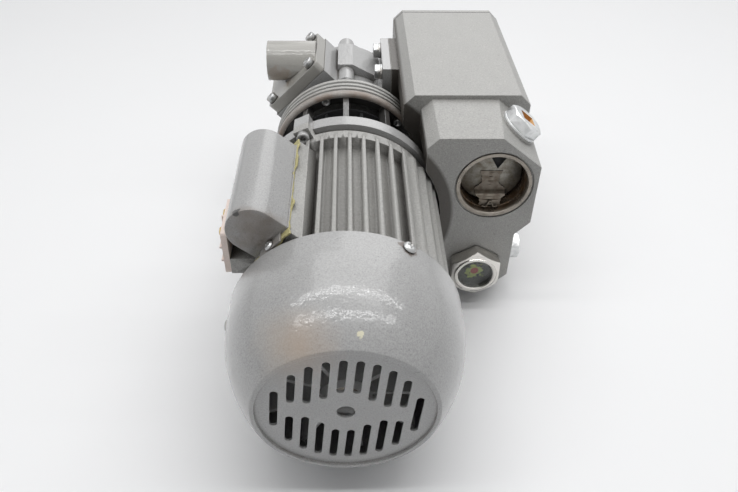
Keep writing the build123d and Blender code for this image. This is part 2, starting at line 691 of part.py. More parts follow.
with BuildPart() as capacitor_cover:
    with BuildSketch(cap_end(CAP_Y + CAP_COVER_LENGTH)):
        cover_section(0)
    extrude(amount=CAP_COVER_LENGTH)
    fillet(
        capacitor_cover.edges().filter_by(GeomType.CIRCLE).group_by(Axis.Y)[0],
        CAP_COVER_WALL / 2,
    )
    with BuildSketch(cap_end(CAP_Y + CAP_COVER_LENGTH - CAP_COVER_WALL)):
        cover_section(CAP_COVER_WALL)
    extrude(amount=CAP_COVER_LENGTH - 2 * CAP_COVER_WALL, mode=Mode.SUBTRACT)
    with BuildSketch(radial(CAP_ANGLE, CAP_BASE_HEIGHT, CAP_Y, CAP_SHIFT)):
        with Locations((0, CAP_COVER_LENGTH / 2)):
            Rectangle(CAP_TAB_WIDTH, CAP_COVER_LENGTH + 2 * CAP_TAB_LENGTH)
            Rectangle(
                CAP_TAB_WIDTH + 2, CAP_COVER_LENGTH - CAP_COVER_WALL, mode=Mode.SUBTRACT
            )
    extrude(amount=CAP_COVER_WALL)
    for station in CAP_SCREW_STATIONS:
        hole = radial(CAP_ANGLE, CAP_BASE_HEIGHT, station, CAP_SHIFT)
        peg(hole, CAP_SCREW_RADIUS + SCREW_GAP, CAP_COVER_WALL, Mode.SUBTRACT)
save(capacitor_cover, "capacitor_cover")

with BuildPart() as cover_gasket:
    with BuildSketch(radial(CAP_ANGLE, CAP_PAD_HEIGHT, CAP_Y, CAP_SHIFT)):
        with Locations((0, CAP_COVER_LENGTH / 2)):
            Rectangle(CAP_PAD_WIDTH - 1, CAP_COVER_LENGTH + 2 * CAP_TAB_LENGTH - 4)
            Rectangle(
                CAP_COVER_WIDTH - 12, CAP_COVER_LENGTH - 12, mode=Mode.SUBTRACT
            )
    extrude(amount=CAP_GASKET)
    for station in CAP_SCREW_STATIONS:
        hole = radial(CAP_ANGLE, CAP_PAD_HEIGHT, station, CAP_SHIFT)
        peg(hole, CAP_SCREW_RADIUS + SCREW_GAP, CAP_GASKET, Mode.SUBTRACT)
save(cover_gasket, "cover_gasket")

with BuildPart() as run_capacitor:
    height = CAP_COVER_HEIGHT - CAP_COVER_WIDTH / 2
    near = CAP_Y + (CAP_COVER_LENGTH - CAPACITOR_LENGTH) / 2
    with BuildSketch(cap_end(near + CAPACITOR_LENGTH)):
        with Locations((0, height)):
            Circle(CAPACITOR_RADIUS)
    extrude(amount=CAPACITOR_LENGTH)
    fillet(run_capacitor.edges().filter_by(GeomType.CIRCLE), 1.5)
save(run_capacitor, "run_capacitor")

with BuildPart() as cover_screws:
    for station in CAP_SCREW_STATIONS:
        pan_screw(
            radial(CAP_ANGLE, CAP_BASE_HEIGHT + CAP_COVER_WALL, station, CAP_SHIFT),
            CAP_SCREW_RADIUS,
            CAP_COVER_WALL + CAP_GASKET,
            CAP_SCREW_HEAD_RADIUS,
            CAP_SCREW_HEAD_HEIGHT,
        )
save(cover_screws, "cover_screws")

# ---------------------------------------------------------------- terminal block
def terminal_places():
    """Centres of the terminal screws on the block's face, as (z, y) from its bottom corner."""
    for row in range(TERMINAL_ROWS):
        z = TERMINAL_MID_Z + (row - (TERMINAL_ROWS - 1) / 2) * TERMINAL_ROW_PITCH
        for side in (-0.5, 0.5):
            yield z, TERMINAL_MID_Y + side * TERMINAL_COLUMN_PITCH


with BuildPart() as terminal_block:
    with BuildSketch(radial(180, TERMINAL_BACK_X, TERMINAL_MID_Y)):
        with Locations((TERMINAL_MID_Z, 0)):
            RectangleRounded(TERMINAL_HEIGHT, TERMINAL_LENGTH, 2)
    extrude(amount=TERMINAL_THICKNESS - TERMINAL_RIB)
    with BuildSketch(radial(180, TERMINAL_BACK_X, TERMINAL_MID_Y)):
        with Locations((TERMINAL_MID_Z, 0)):
            with GridLocations(TERMINAL_ROW_PITCH, 0, TERMINAL_ROWS - 1, 1):
                Rectangle(TERMINAL_RIB, TERMINAL_LENGTH)
            Rectangle(TERMINAL_HEIGHT, TERMINAL_RIB)
    extrude(amount=TERMINAL_THICKNESS)
    for z, y in terminal_places():
        hole = radial(180, TERMINAL_BACK_X, y, z)
        peg(hole, TERMINAL_SCREW_RADIUS + SCREW_GAP, TERMINAL_THICKNESS, Mode.SUBTRACT)
save(terminal_block, "terminal_block")

with BuildPart() as terminal_screws:
    for z, y in terminal_places():
        pan_screw(
            radial(180, TERMINAL_FACE_X - TERMINAL_RIB, y, z),
            TERMINAL_SCREW_RADIUS,
            TERMINAL_THICKNESS - TERMINAL_RIB,
            TERMINAL_SCREW_HEAD_RADIUS,
            TERMINAL_SCREW_HEAD_HEIGHT,
        )
save(terminal_screws, "terminal_screws")

# ---------------------------------------------------------------- motor flange with its cage
FOOT_LEFT_X, FOOT_RIGHT_X = -FOOT_PITCH_X / 2, FOOT_PITCH_X / 2
FOOT_FRONT_Y, FOOT_REAR_Y = -FOOT_PITCH_Y / 2, FOOT_PITCH_Y / 2


def on_floor(x, y, z=0.0):
    """Level plane over a foot, at a height above the floor, that extrudes upwards."""
    return Plane(origin=(x, y, z))


def foot_pad(x, y, top):
    """Round leg that stands over a foot and ends at a height above the floor."""
    peg(on_floor(x, y, FOOT_HEIGHT), FOOT_PAD_RADIUS, top - FOOT_HEIGHT)


def foot_hole(x, y):
    """Threaded hole in a leg for the stud of its foot."""
    peg(
        on_floor(x, y, FOOT_HEIGHT),
        FOOT_STUD_RADIUS + SCREW_GAP,
        FOOT_STUD_LENGTH + 1,
        Mode.SUBTRACT,
    )


def bell_screw_places():
    """Places of the screws that hold the cage to the shroud, midway between ribs, as (x, z)."""
    middle = (CAGE_OUTER_RADIUS + CAGE_INNER_RADIUS) / 2
    for index in range(BELL_SCREWS):
        angle = radians(90 + 180 / CAGE_RIBS + index * 360 / BELL_SCREWS)
        yield middle * cos(angle), middle * sin(angle)


with BuildPart() as motor_flange:
    disc(FLANGE_Y, FLANGE_REAR_Y, FLANGE_RADIUS)
    disc(FLANGE_Y - SPIGOT_DEPTH, FLANGE_Y, FRAME_BORE_RADIUS - RUNNING_FIT)
    disc(
        FLANGE_Y - SPIGOT_DEPTH, FLANGE_REAR_Y - SPIGOT_WALL, FRAME_BORE_RADIUS - SPIGOT_WALL,
        Mode.SUBTRACT,
    )
    disc(FLANGE_Y - SPIGOT_DEPTH, FLANGE_REAR_Y, SHIELD_HUB_RADIUS)
    for angle in LUG_ANGLES:
        with BuildSketch(radial(angle, FRAME_BODY_RADIUS, FLANGE_Y)):
            with Locations((0, FLANGE_LENGTH / 2)):
                Rectangle(LUG_WIDTH, FLANGE_LENGTH)
        extrude(amount=LUG_RADIUS + LUG_SCREW_HEAD_RADIUS - FRAME_BODY_RADIUS)
    with BuildSketch(across(CAGE_SEAT_Y, 90)):
        with PolarLocations((CAGE_OUTER_RADIUS + CAGE_INNER_RADIUS) / 2, CAGE_RIBS):
            Rectangle(CAGE_OUTER_RADIUS - CAGE_INNER_RADIUS, CAGE_RIB_WIDTH)
    extrude(amount=CAGE_SEAT_Y - FLANGE_REAR_Y)
    with BuildSketch(across(CAGE_SEAT_Y)):
        Circle(CAGE_OUTER_RADIUS)
        Circle(CAGE_INNER_RADIUS - 2, mode=Mode.SUBTRACT)
    extrude(amount=CAGE_SEAT_LENGTH)
    foot_pad(FOOT_LEFT_X, FOOT_FRONT_Y, AXIS_Z - FRAME_BODY_RADIUS + 2)
    disc(FRONT_BEARING_Y, FRONT_BEARING_Y + BEARING_WIDTH, BEARING_OUTER_RADIUS, Mode.SUBTRACT)
    disc(FRONT_BEARING_Y, FLANGE_REAR_Y, ROTOR_SEAT_RADIUS, Mode.SUBTRACT)
    disc(FLANGE_Y - SPIGOT_DEPTH, FRONT_BEARING_Y, BEARING_OUTER_RADIUS - 3, Mode.SUBTRACT)
    foot_hole(FOOT_LEFT_X, FOOT_FRONT_Y)
    with BuildSketch(across(CAGE_SEAT_Y)):
        with Locations(*bell_screw_places()):
            Circle(BELL_SCREW_RADIUS + SCREW_GAP)
    extrude(amount=CAGE_SEAT_LENGTH, mode=Mode.SUBTRACT)
    for angle in LUG_ANGLES:
        place = LUG_RADIUS * cos(radians(angle)), LUG_RADIUS * sin(radians(angle))
        disc(FLANGE_Y, FLANGE_REAR_Y, LUG_SCREW_RADIUS + SCREW_GAP, Mode.SUBTRACT, *place)
save(motor_flange, "motor_flange")

with BuildPart() as lug_screws:
    for angle in LUG_ANGLES:
        x = LUG_RADIUS * cos(radians(angle))
        z = LUG_RADIUS * sin(radians(angle))
        head = across(FLANGE_Y - LUG_LENGTH)
        socket_screw(
            Plane(origin=head.from_local_coords((x, z, 0)), x_dir=head.x_dir, z_dir=head.z_dir),
            LUG_SCREW_RADIUS,
            LUG_LENGTH + FLANGE_LENGTH,
            LUG_SCREW_HEAD_RADIUS,
            LUG_SCREW_HEAD_HEIGHT,
        )
save(lug_screws, "lug_screws")

# ---------------------------------------------------------------- grooved shroud
with BuildPart() as fan_shroud:
    with BuildSketch(ALONG):
        with BuildLine():
            lip = SHROUD_RADIUS - SHROUD_LIP
            outer = Line((SHROUD_RADIUS, SHROUD_Y + SHROUD_LIP), (SHROUD_RADIUS, PUMP_FACE_Y))
            RadiusArc((lip, SHROUD_Y), outer @ 0, -SHROUD_LIP)
            Polyline(
                outer @ 1,
                (SHROUD_HUB_RADIUS, PUMP_FACE_Y),
                (SHROUD_HUB_RADIUS, CAGE_SEAT_Y),
                (SHROUD_BORE_RADIUS, CAGE_SEAT_Y),
                (SHROUD_BORE_RADIUS, SHROUD_Y),
                (lip, SHROUD_Y),
            )
        make_face()
        first = SHROUD_Y + SHROUD_LENGTH - SHROUD_GROOVE_PITCH * SHROUD_GROOVES / 1.05
        for groove in range(SHROUD_GROOVES):
            with Locations((SHROUD_RADIUS, first + groove * SHROUD_GROOVE_PITCH)):
                Rectangle(2 * SHROUD_GROOVE_DEPTH, SHROUD_GROOVE_WIDTH, mode=Mode.SUBTRACT)
    revolve(axis=SHAFT)
    with BuildSketch(across(PUMP_FACE_Y)):
        with Locations(*bell_screw_places()):
            Circle(BELL_SCREW_RADIUS + SCREW_GAP)
    extrude(amount=SHROUD_PLATE, mode=Mode.SUBTRACT)
save(fan_shroud, "fan_shroud")

with BuildPart() as bell_screws:
    for x, z in bell_screw_places():
        head = across(CAGE_SEAT_Y - CAGE_SEAT_LENGTH)
        socket_screw(
            Plane(origin=head.from_local_coords((x, z, 0)), x_dir=head.x_dir, z_dir=head.z_dir),
            BELL_SCREW_RADIUS,
            CAGE_SEAT_LENGTH + SHROUD_PLATE - 1,
            BELL_SCREW_HEAD_RADIUS,
            BELL_SCREW_HEAD_HEIGHT,
        )
save(bell_screws, "bell_screws")

# ---------------------------------------------------------------- coupling and pump fan
SPIDER_Y = MOTOR_SHAFT_END_Y
SPIDER_REAR_Y = SPIDER_Y + COUPLING_SPIDER_LENGTH
COUPLING_REAR_Y = SPIDER_REAR_Y + COUPLING_HALF_LENGTH
FAN_HUB_RADIUS = COUPLING_RADIUS + PUMP_FAN_HUB


def jaw_ring(inner, first, span):
    """Sectors of one span, evenly spaced round the coupling, out to its full radius."""
    for index in range(COUPLING_JAWS):
        start = first + index * 360 / COUPLING_JAWS
        with BuildLine() as outline:
            inside = CenterArc((0, 0), inner, start, span)
            outside = CenterArc((0, 0), COUPLING_RADIUS, start, span)
            Line(inside @ 0, outside @ 0)
            Line(inside @ 1, outside @ 1)
        make_face(outline.edges())


with BuildPart() as coupling_motor_half:
    disc(FLANGE_REAR_Y + SEAT_GAP, MOTOR_SHAFT_END_Y, COUPLING_RADIUS)
    with BuildSketch(across(SPIDER_REAR_Y - SEAT_GAP)):
        jaw_ring(COUPLING_JAW_INNER, 0, COUPLING_JAW_SPAN)
    extrude(amount=COUPLING_SPIDER_LENGTH - SEAT_GAP)
    disc(FLANGE_REAR_Y, MOTOR_SHAFT_END_Y, SHAFT_END_RADIUS, Mode.SUBTRACT)
save(coupling_motor_half, "coupling_motor_half")

with BuildPart() as coupling_pump_half:
    disc(SPIDER_REAR_Y, COUPLING_REAR_Y, COUPLING_RADIUS)
    with BuildSketch(across(SPIDER_REAR_Y)):
        jaw_ring(COUPLING_JAW_INNER, 180 / COUPLING_JAWS, COUPLING_JAW_SPAN)
    extrude(amount=COUPLING_SPIDER_LENGTH - SEAT_GAP)
    disc(SPIDER_REAR_Y, COUPLING_REAR_Y, PUMP_SHAFT_RADIUS, Mode.SUBTRACT)
save(coupling_pump_half, "coupling_pump_half")

with BuildPart() as coupling_spider:
    leg = 180 / COUPLING_JAWS - COUPLING_JAW_SPAN - 2 * COUPLING_JAW_GAP
    with BuildSketch(across(SPIDER_REAR_Y - SEAT_GAP)):
        for side in range(2):
            first = COUPLING_JAW_SPAN + COUPLING_JAW_GAP + side * 180 / COUPLING_JAWS
            jaw_ring(COUPLING_JAW_INNER / 2, first, leg)
        Circle(COUPLING_JAW_INNER - SEAT_GAP)
    extrude(amount=COUPLING_SPIDER_LENGTH - 2 * SEAT_GAP)
save(coupling_spider, "coupling_spider")

with BuildPart() as pump_fan:
    near = COUPLING_REAR_Y - PUMP_FAN_LENGTH
    disc(near, COUPLING_REAR_Y, FAN_HUB_RADIUS)
    disc(COUPLING_REAR_Y - PUMP_FAN_PLATE, COUPLING_REAR_Y, PUMP_FAN_RADIUS)
    with BuildSketch(across(COUPLING_REAR_Y - PUMP_FAN_PLATE)):
        with PolarLocations((FAN_HUB_RADIUS + PUMP_FAN_RADIUS) / 2 - 1, PUMP_FAN_BLADES):
            Rectangle(PUMP_FAN_RADIUS - FAN_HUB_RADIUS, PUMP_FAN_BLADE_THICKNESS, rotation=12)
    extrude(amount=PUMP_FAN_LENGTH - 2 * PUMP_FAN_PLATE)
    disc(near, COUPLING_REAR_Y, COUPLING_RADIUS, Mode.SUBTRACT)
save(pump_fan, "pump_fan")

# ---------------------------------------------------------------- pump covers and cylinder
BORE_Z = VANE_ROTOR_RADIUS + ROTOR_TOP_GAP - BORE_RADIUS
FRONT_PUMP_BEARING_Y = COVER_REAR_Y - PUMP_BEARING_WIDTH
INTAKE_Y = COVER_REAR_Y + CYLINDER_LENGTH / 2


def bolt_circle():
    """Places of the long bolts across the shaft, as (x, z) from it."""
    for angle in PUMP_BOLT_ANGLES:
        yield PUMP_BOLT_CIRCLE * cos(radians(angle)), PUMP_BOLT_CIRCLE * sin(radians(angle))


def bossed_slice(near, far):
    """Round pump body between two stations, with a boss for each long bolt."""
    with BuildSketch(across(far)) as outline:
        Circle(PUMP_BODY_RADIUS)
        with Locations(*bolt_circle()):
            Circle(PUMP_BOSS_RADIUS)
    extrude(outline.sketch, amount=far - near)


def bolt_holes(near, far, radius):
    """Holes on the circle of the long bolts, between two stations."""
    with BuildSketch(across(far)) as holes:
        with Locations(*bolt_circle()):
            Circle(radius)
    extrude(holes.sketch, amount=far - near, mode=Mode.SUBTRACT)


with BuildPart() as pump_front_cover:
    bossed_slice(PUMP_FACE_Y, COVER_REAR_Y)
    disc(PUMP_FACE_Y, COVER_REAR_Y, SEAL_RADIUS, Mode.SUBTRACT)
    disc(FRONT_PUMP_BEARING_Y, COVER_REAR_Y, PUMP_BEARING_RADIUS, Mode.SUBTRACT)
    bolt_holes(PUMP_FACE_Y, COVER_REAR_Y, PUMP_BOLT_RADIUS + SCREW_GAP)
save(pump_front_cover, "pump_front_cover")

with BuildPart() as shaft_seal:
    disc(PUMP_FACE_Y, FRONT_PUMP_BEARING_Y, SEAL_RADIUS)
    disc(PUMP_FACE_Y, FRONT_PUMP_BEARING_Y, PUMP_SHAFT_RADIUS + SEAL_LIP_GAP, Mode.SUBTRACT)
save(shaft_seal, "shaft_seal")

with BuildPart() as pump_bearings:
    for near in (FRONT_PUMP_BEARING_Y, CYLINDER_REAR_Y):
        ball_bearing(near, PUMP_BEARING_WIDTH, PUMP_SHAFT_RADIUS, PUMP_BEARING_RADIUS)
save(pump_bearings, "pump_bearings")

with BuildPart() as pump_rear_cover:
    bossed_slice(CYLINDER_REAR_Y, PUMP_REAR_Y)
    disc(PUMP_REAR_Y, PUMP_REAR_Y + REAR_CAP_LENGTH, REAR_CAP_RADIUS)
    fillet(pump_rear_cover.faces().sort_by(Axis.Y)[-1].edges(), REAR_CAP_LENGTH / 2)
    disc(
        CYLINDER_REAR_Y, CYLINDER_REAR_Y + PUMP_BEARING_WIDTH, PUMP_BEARING_RADIUS,
        Mode.SUBTRACT,
    )
    disc(CYLINDER_REAR_Y, PUMP_REAR_Y, PUMP_SHAFT_RADIUS + 2, Mode.SUBTRACT)
    bolt_holes(CYLINDER_REAR_Y, PUMP_REAR_Y, PUMP_BOLT_RADIUS + SCREW_GAP)
save(pump_rear_cover, "pump_rear_cover")

SIDE_FLANGE_MID_Y = COVER_REAR_Y + CYLINDER_LENGTH / 2
SIDE_FLANGE_MID_Z = SIDE_FLANGE_TOP_Z - SIDE_FLANGE_HEIGHT / 2
SIDE_FLANGE_RIGHT_X = SIDE_FLANGE_LEFT_X + SIDE_FLANGE_THICKNESS
PAD_LEFT_X = SIDE_FLANGE_RIGHT_X + SIDE_GASKET
GALLERY_PORT = (CYLINDER_REAR_Y - GALLERY_LENGTH / 2, GALLERY_PORT_Z)
SIDE_BOLT_HOLE = SIDE_BOLT_RADIUS + SCREW_GAP
INNER_SCREW_HOLE = INNER_SCREW_RADIUS + SCREW_GAP


def facing_right(x):
    """Upright plane at a distance right of the shaft: x along the shaft, y up, grows right."""
    return Plane(origin=(AXIS_X + x, 0, AXIS_Z), x_dir=(0, 1, 0), z_dir=(1, 0, 0))


def side_bolt_places(row):
    """Centres of the two side bolts of the upper row (0.5) or the lower row (-0.5)."""
    for along_y in (-0.5, 0.5):
        y = SIDE_FLANGE_MID_Y + along_y * SIDE_BOLT_PITCH_Y
        yield y, SIDE_FLANGE_MID_Z + row * SIDE_BOLT_PITCH_Z


def side_plate(x, thickness):
    """Rectangular plate of the side joint, with its bolt holes and its port."""
    with BuildSketch(facing_right(x)) as plate:
        with Locations((SIDE_FLANGE_MID_Y, SIDE_FLANGE_MID_Z)):
            Rectangle(CYLINDER_LENGTH, SIDE_FLANGE_HEIGHT)
    extrude(plate.sketch, amount=thickness)


def side_holes(x, length, radius, *places):
    """Holes of one radius through the side joint, from a distance right of the shaft."""
    with BuildSketch(facing_right(x)) as holes:
        with Locations(*places):
            Circle(radius)
    extrude(holes.sketch, amount=length, mode=Mode.SUBTRACT)


with BuildPart() as pump_cylinder:
    bossed_slice(COVER_REAR_Y, CYLINDER_REAR_Y)
    with BuildSketch(radial(INTAKE_ANGLE, BORE_RADIUS / 2, INTAKE_Y)):
        Rectangle(INTAKE_BLOCK_WIDTH, CYLINDER_LENGTH)
    extrude(amount=INTAKE_BLOCK_HEIGHT - BORE_RADIUS / 2)
    with BuildSketch(across(CYLINDER_REAR_Y)):
        Polygon(
            (-PUMP_BOSS_RADIUS, 0),
            (-PUMP_BOSS_RADIUS, GALLERY_TOP_Z),
            (GALLERY_SHOULDER_X, GALLERY_TOP_Z),
            (SIDE_FLANGE_LEFT_X, GALLERY_EDGE_Z),
            (SIDE_FLANGE_LEFT_X, SIDE_FLANGE_TOP_Z - SIDE_FLANGE_HEIGHT),
            align=None,
        )
    extrude(amount=GALLERY_LENGTH)
    with BuildSketch(facing_right(SIDE_FLANGE_RIGHT_X)):
        with Locations((SIDE_FLANGE_MID_Y, SIDE_FLANGE_MID_Z)):
            Rectangle(CYLINDER_LENGTH, SIDE_FLANGE_HEIGHT + 4 * SEAT_GAP)
    extrude(amount=PUMP_BODY_RADIUS, mode=Mode.SUBTRACT)
    side_plate(SIDE_FLANGE_LEFT_X, SIDE_FLANGE_THICKNESS)
    foot_pad(FOOT_LEFT_X, FOOT_REAR_Y, AXIS_Z - PUMP_BODY_RADIUS * 0.6)
    disc(COVER_REAR_Y, CYLINDER_REAR_Y, BORE_RADIUS, Mode.SUBTRACT, 0, BORE_Z)
    bolt_holes(COVER_REAR_Y, CYLINDER_REAR_Y, PUMP_BOLT_RADIUS + SCREW_GAP)
    side_holes(0, SIDE_FLANGE_RIGHT_X, GALLERY_PORT_RADIUS, GALLERY_PORT)
    side_holes(SIDE_FLANGE_LEFT_X, SIDE_FLANGE_THICKNESS, SIDE_BOLT_HOLE, *side_bolt_places(0.5))
    side_holes(
        SIDE_FLANGE_RIGHT_X - INNER_SCREW_DEPTH,
        INNER_SCREW_DEPTH,
        INNER_SCREW_HOLE,
        *side_bolt_places(-0.5),
    )
    face = radial(INTAKE_ANGLE, INTAKE_BLOCK_HEIGHT, INTAKE_Y)
    peg(face, VALVE_CHAMBER_RADIUS, -VALVE_CHAMBER_DEPTH, Mode.SUBTRACT)
    peg(face, INTAKE_PORT_RADIUS, -INTAKE_BLOCK_HEIGHT, Mode.SUBTRACT)
    with BuildSketch(face):
        with GridLocations(INTAKE_BOLT_PITCH_T, INTAKE_BOLT_PITCH_Y, 2, 2):
            Circle(INTAKE_SCREW_RADIUS + SCREW_GAP)
    extrude(amount=-INTAKE_SCREW_LENGTH, mode=Mode.SUBTRACT)
    foot_hole(FOOT_LEFT_X, FOOT_REAR_Y)
save(pump_cylinder, "pump_cylinder")

with BuildPart() as pump_bolts:
    for x, z in bolt_circle():
        place = Plane(origin=(AXIS_X + x, PUMP_REAR_Y, AXIS_Z + z), z_dir=(0, 1, 0))
        socket_screw(
            place,
            PUMP_BOLT_RADIUS,
            PUMP_REAR_Y - PUMP_FACE_Y - 1,
            PUMP_BOLT_HEAD_RADIUS,
            PUMP_BOLT_HEAD_HEIGHT,
        )
save(pump_bolts, "pump_bolts")

# ---------------------------------------------------------------- vane rotor and vanes
ROTOR_NEAR_Y = COVER_REAR_Y + END_GAP
ROTOR_FAR_Y = CYLINDER_REAR_Y - END_GAP
VANE_TURN = -30.0

with BuildPart() as pump_rotor:
    disc(ROTOR_NEAR_Y, ROTOR_FAR_Y, VANE_ROTOR_RADIUS)
    disc(
        SPIDER_REAR_Y, CYLINDER_REAR_Y + PUMP_BEARING_WIDTH, PUMP_SHAFT_RADIUS - RUNNING_FIT
    )
    for index in range(VANES):
        angle = VANE_TURN + index * 360 / VANES
        floor = VANE_ROTOR_RADIUS - VANE_DEPTH - VANE_SLOT_FLOOR_GAP
        with BuildSketch(radial(angle, floor, INTAKE_Y)):
            Rectangle(VANE_THICKNESS + 2 * VANE_SIDE_GAP, CYLINDER_LENGTH)
        extrude(amount=VANE_ROTOR_RADIUS, mode=Mode.SUBTRACT)
save(pump_rotor, "pump_rotor")

for index in range(VANES):
    angle = VANE_TURN + index * 360 / VANES
    with BuildPart() as vane:
        with BuildSketch(radial(angle, VANE_ROTOR_RADIUS - VANE_DEPTH, INTAKE_Y)):
            Rectangle(VANE_THICKNESS, CYLINDER_LENGTH - 2 * END_GAP)
        extrude(amount=VANE_DEPTH)
        tip = vane.faces().sort_by(Axis(SHAFT.position, radial(angle, 0, 0).z_dir))[-1]
        chamfer(tip.edges().filter_by(Axis.Y), 0.6)
    save(vane, f"vane_{index + 1}")

# ---------------------------------------------------------------- intake
PLATE_BASE = INTAKE_BLOCK_HEIGHT + INTAKE_GASKET
PLATE_TOP = PLATE_BASE + INTAKE_PLATE

with BuildPart() as intake_gasket:
    with BuildSketch(radial(INTAKE_ANGLE, INTAKE_BLOCK_HEIGHT, INTAKE_Y)):
        Rectangle(INTAKE_BLOCK_WIDTH, CYLINDER_LENGTH)
        Circle(VALVE_CHAMBER_RADIUS, mode=Mode.SUBTRACT)
        with GridLocations(INTAKE_BOLT_PITCH_T, INTAKE_BOLT_PITCH_Y, 2, 2):
            Circle(INTAKE_SCREW_RADIUS + SCREW_GAP, mode=Mode.SUBTRACT)
    extrude(amount=INTAKE_GASKET)
save(intake_gasket, "intake_gasket")

with BuildPart() as intake_elbow:
    stub_end = Plane(
        origin=(AXIS_X - STUB_ROOT_X, INTAKE_Y, AXIS_Z + STUB_Z), x_dir=(0, 1, 0), z_dir=(-1, 0, 0)
    )
    peg(stub_end, STUB_RADIUS, STUB_TIP_X - STUB_ROOT_X)
    split(bisect_by=radial(INTAKE_ANGLE, PLATE_BASE, INTAKE_Y), keep=Keep.TOP)
    with BuildSketch(radial(INTAKE_ANGLE, PLATE_BASE, INTAKE_Y)):
        RectangleRounded(INTAKE_BLOCK_WIDTH, CYLINDER_LENGTH, 5)
    extrude(amount=INTAKE_PLATE)
    tip = stub_end.offset(STUB_TIP_X - STUB_ROOT_X)
    peg(tip, STUB_BORE_RADIUS, -STUB_THREAD_LENGTH, Mode.SUBTRACT)
    peg(tip, STUB_PORT_RADIUS + 1.5, STUB_BORE_END_X - STUB_TIP_X, Mode.SUBTRACT)
    port = radial(INTAKE_ANGLE, PLATE_BASE, INTAKE_Y, STUB_PORT_SHIFT)
    peg(port, STUB_PORT_RADIUS, INTAKE_PLATE + 6, Mode.SUBTRACT)
    with BuildSketch(radial(INTAKE_ANGLE, PLATE_BASE, INTAKE_Y)):
        with GridLocations(INTAKE_BOLT_PITCH_T, INTAKE_BOLT_PITCH_Y, 2, 2):
            Circle(INTAKE_SCREW_RADIUS + SCREW_GAP)
    extrude(amount=INTAKE_PLATE, mode=Mode.SUBTRACT)
save(intake_elbow, "intake_elbow")

with BuildPart() as intake_screws:
    top = radial(INTAKE_ANGLE, PLATE_TOP, INTAKE_Y)
    for across_t in (-0.5, 0.5):
        for along_y in (-0.5, 0.5):
            spot = across_t * INTAKE_BOLT_PITCH_T, along_y * INTAKE_BOLT_PITCH_Y, 0
            place = Plane(origin=top.from_local_coords(spot), x_dir=top.x_dir, z_dir=top.z_dir)
            socket_screw(
                place,
                INTAKE_SCREW_RADIUS,
                INTAKE_PLATE + INTAKE_GASKET + INTAKE_SCREW_LENGTH - 3,
                INTAKE_SCREW_HEAD_RADIUS,
                INTAKE_SCREW_HEAD_HEIGHT,
            )
save(intake_screws, "intake_screws")

with BuildPart() as check_valve_disc:
    seat = PLATE_BASE - SEAT_GAP - VALVE_DISC_THICKNESS
    peg(radial(INTAKE_ANGLE, seat, INTAKE_Y), VALVE_DISC_RADIUS, VALVE_DISC_THICKNESS)
    chamfer(check_valve_disc.edges().filter_by(GeomType.CIRCLE), 0.5)
save(check_valve_disc, "check_valve_disc")

# ---------------------------------------------------------------- side joint
with BuildPart() as side_gasket:
    side_plate(SIDE_FLANGE_RIGHT_X, SIDE_GASKET)
    side_holes(SIDE_FLANGE_RIGHT_X, SIDE_GASKET, GALLERY_PORT_RADIUS, GALLERY_PORT)
    side_holes(SIDE_FLANGE_RIGHT_X, SIDE_GASKET, SIDE_BOLT_HOLE, *side_bolt_places(0.5))
    side_holes(SIDE_FLANGE_RIGHT_X, SIDE_GASKET, INNER_SCREW_HOLE, *side_bolt_places(-0.5))
save(side_gasket, "side_gasket")


def facing_left(x, y, z):
    """Upright plane at a point from the shaft that grows to the left."""
    return Plane(origin=(AXIS_X + x, y, AXIS_Z + z), x_dir=(0, 0, 1), z_dir=(-1, 0, 0))


with BuildPart() as side_washers:
    for y, z in side_bolt_places(0.5):
        plane = facing_left(SIDE_FLANGE_LEFT_X, y, z)
        peg(plane, SIDE_WASHER_RADIUS, SIDE_WASHER_THICKNESS)
        peg(plane, SIDE_BOLT_RADIUS + SCREW_GAP, SIDE_WASHER_THICKNESS, Mode.SUBTRACT)
        with BuildSketch(plane):
            with Locations((0, (SIDE_BOLT_RADIUS + SIDE_WASHER_RADIUS) / 2)):
                Rectangle(0.9, SIDE_WASHER_RADIUS, rotation=20)
        extrude(amount=SIDE_WASHER_THICKNESS, mode=Mode.SUBTRACT)
save(side_washers, "side_washers")

SIDE_BOLT_REACH = SIDE_FLANGE_THICKNESS + SIDE_GASKET + SIDE_BOLT_DEPTH - 1
with BuildPart() as side_bolts:
    for y, z in side_bolt_places(0.5):
        plane = facing_left(SIDE_FLANGE_LEFT_X - SIDE_WASHER_THICKNESS, y, z)
        hex_head(plane, SIDE_BOLT_HEX, SIDE_BOLT_HEAD_HEIGHT)
        peg(plane, SIDE_BOLT_RADIUS, -SIDE_WASHER_THICKNESS - SIDE_BOLT_REACH)
save(side_bolts, "side_bolts")

# ---------------------------------------------------------------- oil separator
BOX_MID_X = (BOX_LEFT_X + BOX_RIGHT_X) / 2
BOX_MID_Z = (BOX_TOP_Z + BOX_BOTTOM_Z) / 2
FILTER_Y = NOSE_Y + FILTER_SETBACK
PARTITION_Y = FILTER_Y + FILTER_LENGTH - 2 * PARTITION_THICKNESS
FILLER_Y = NOSE_Y + FILLER_SETBACK
DRAIN_Y = NOSE_Y + DRAIN_SETBACK


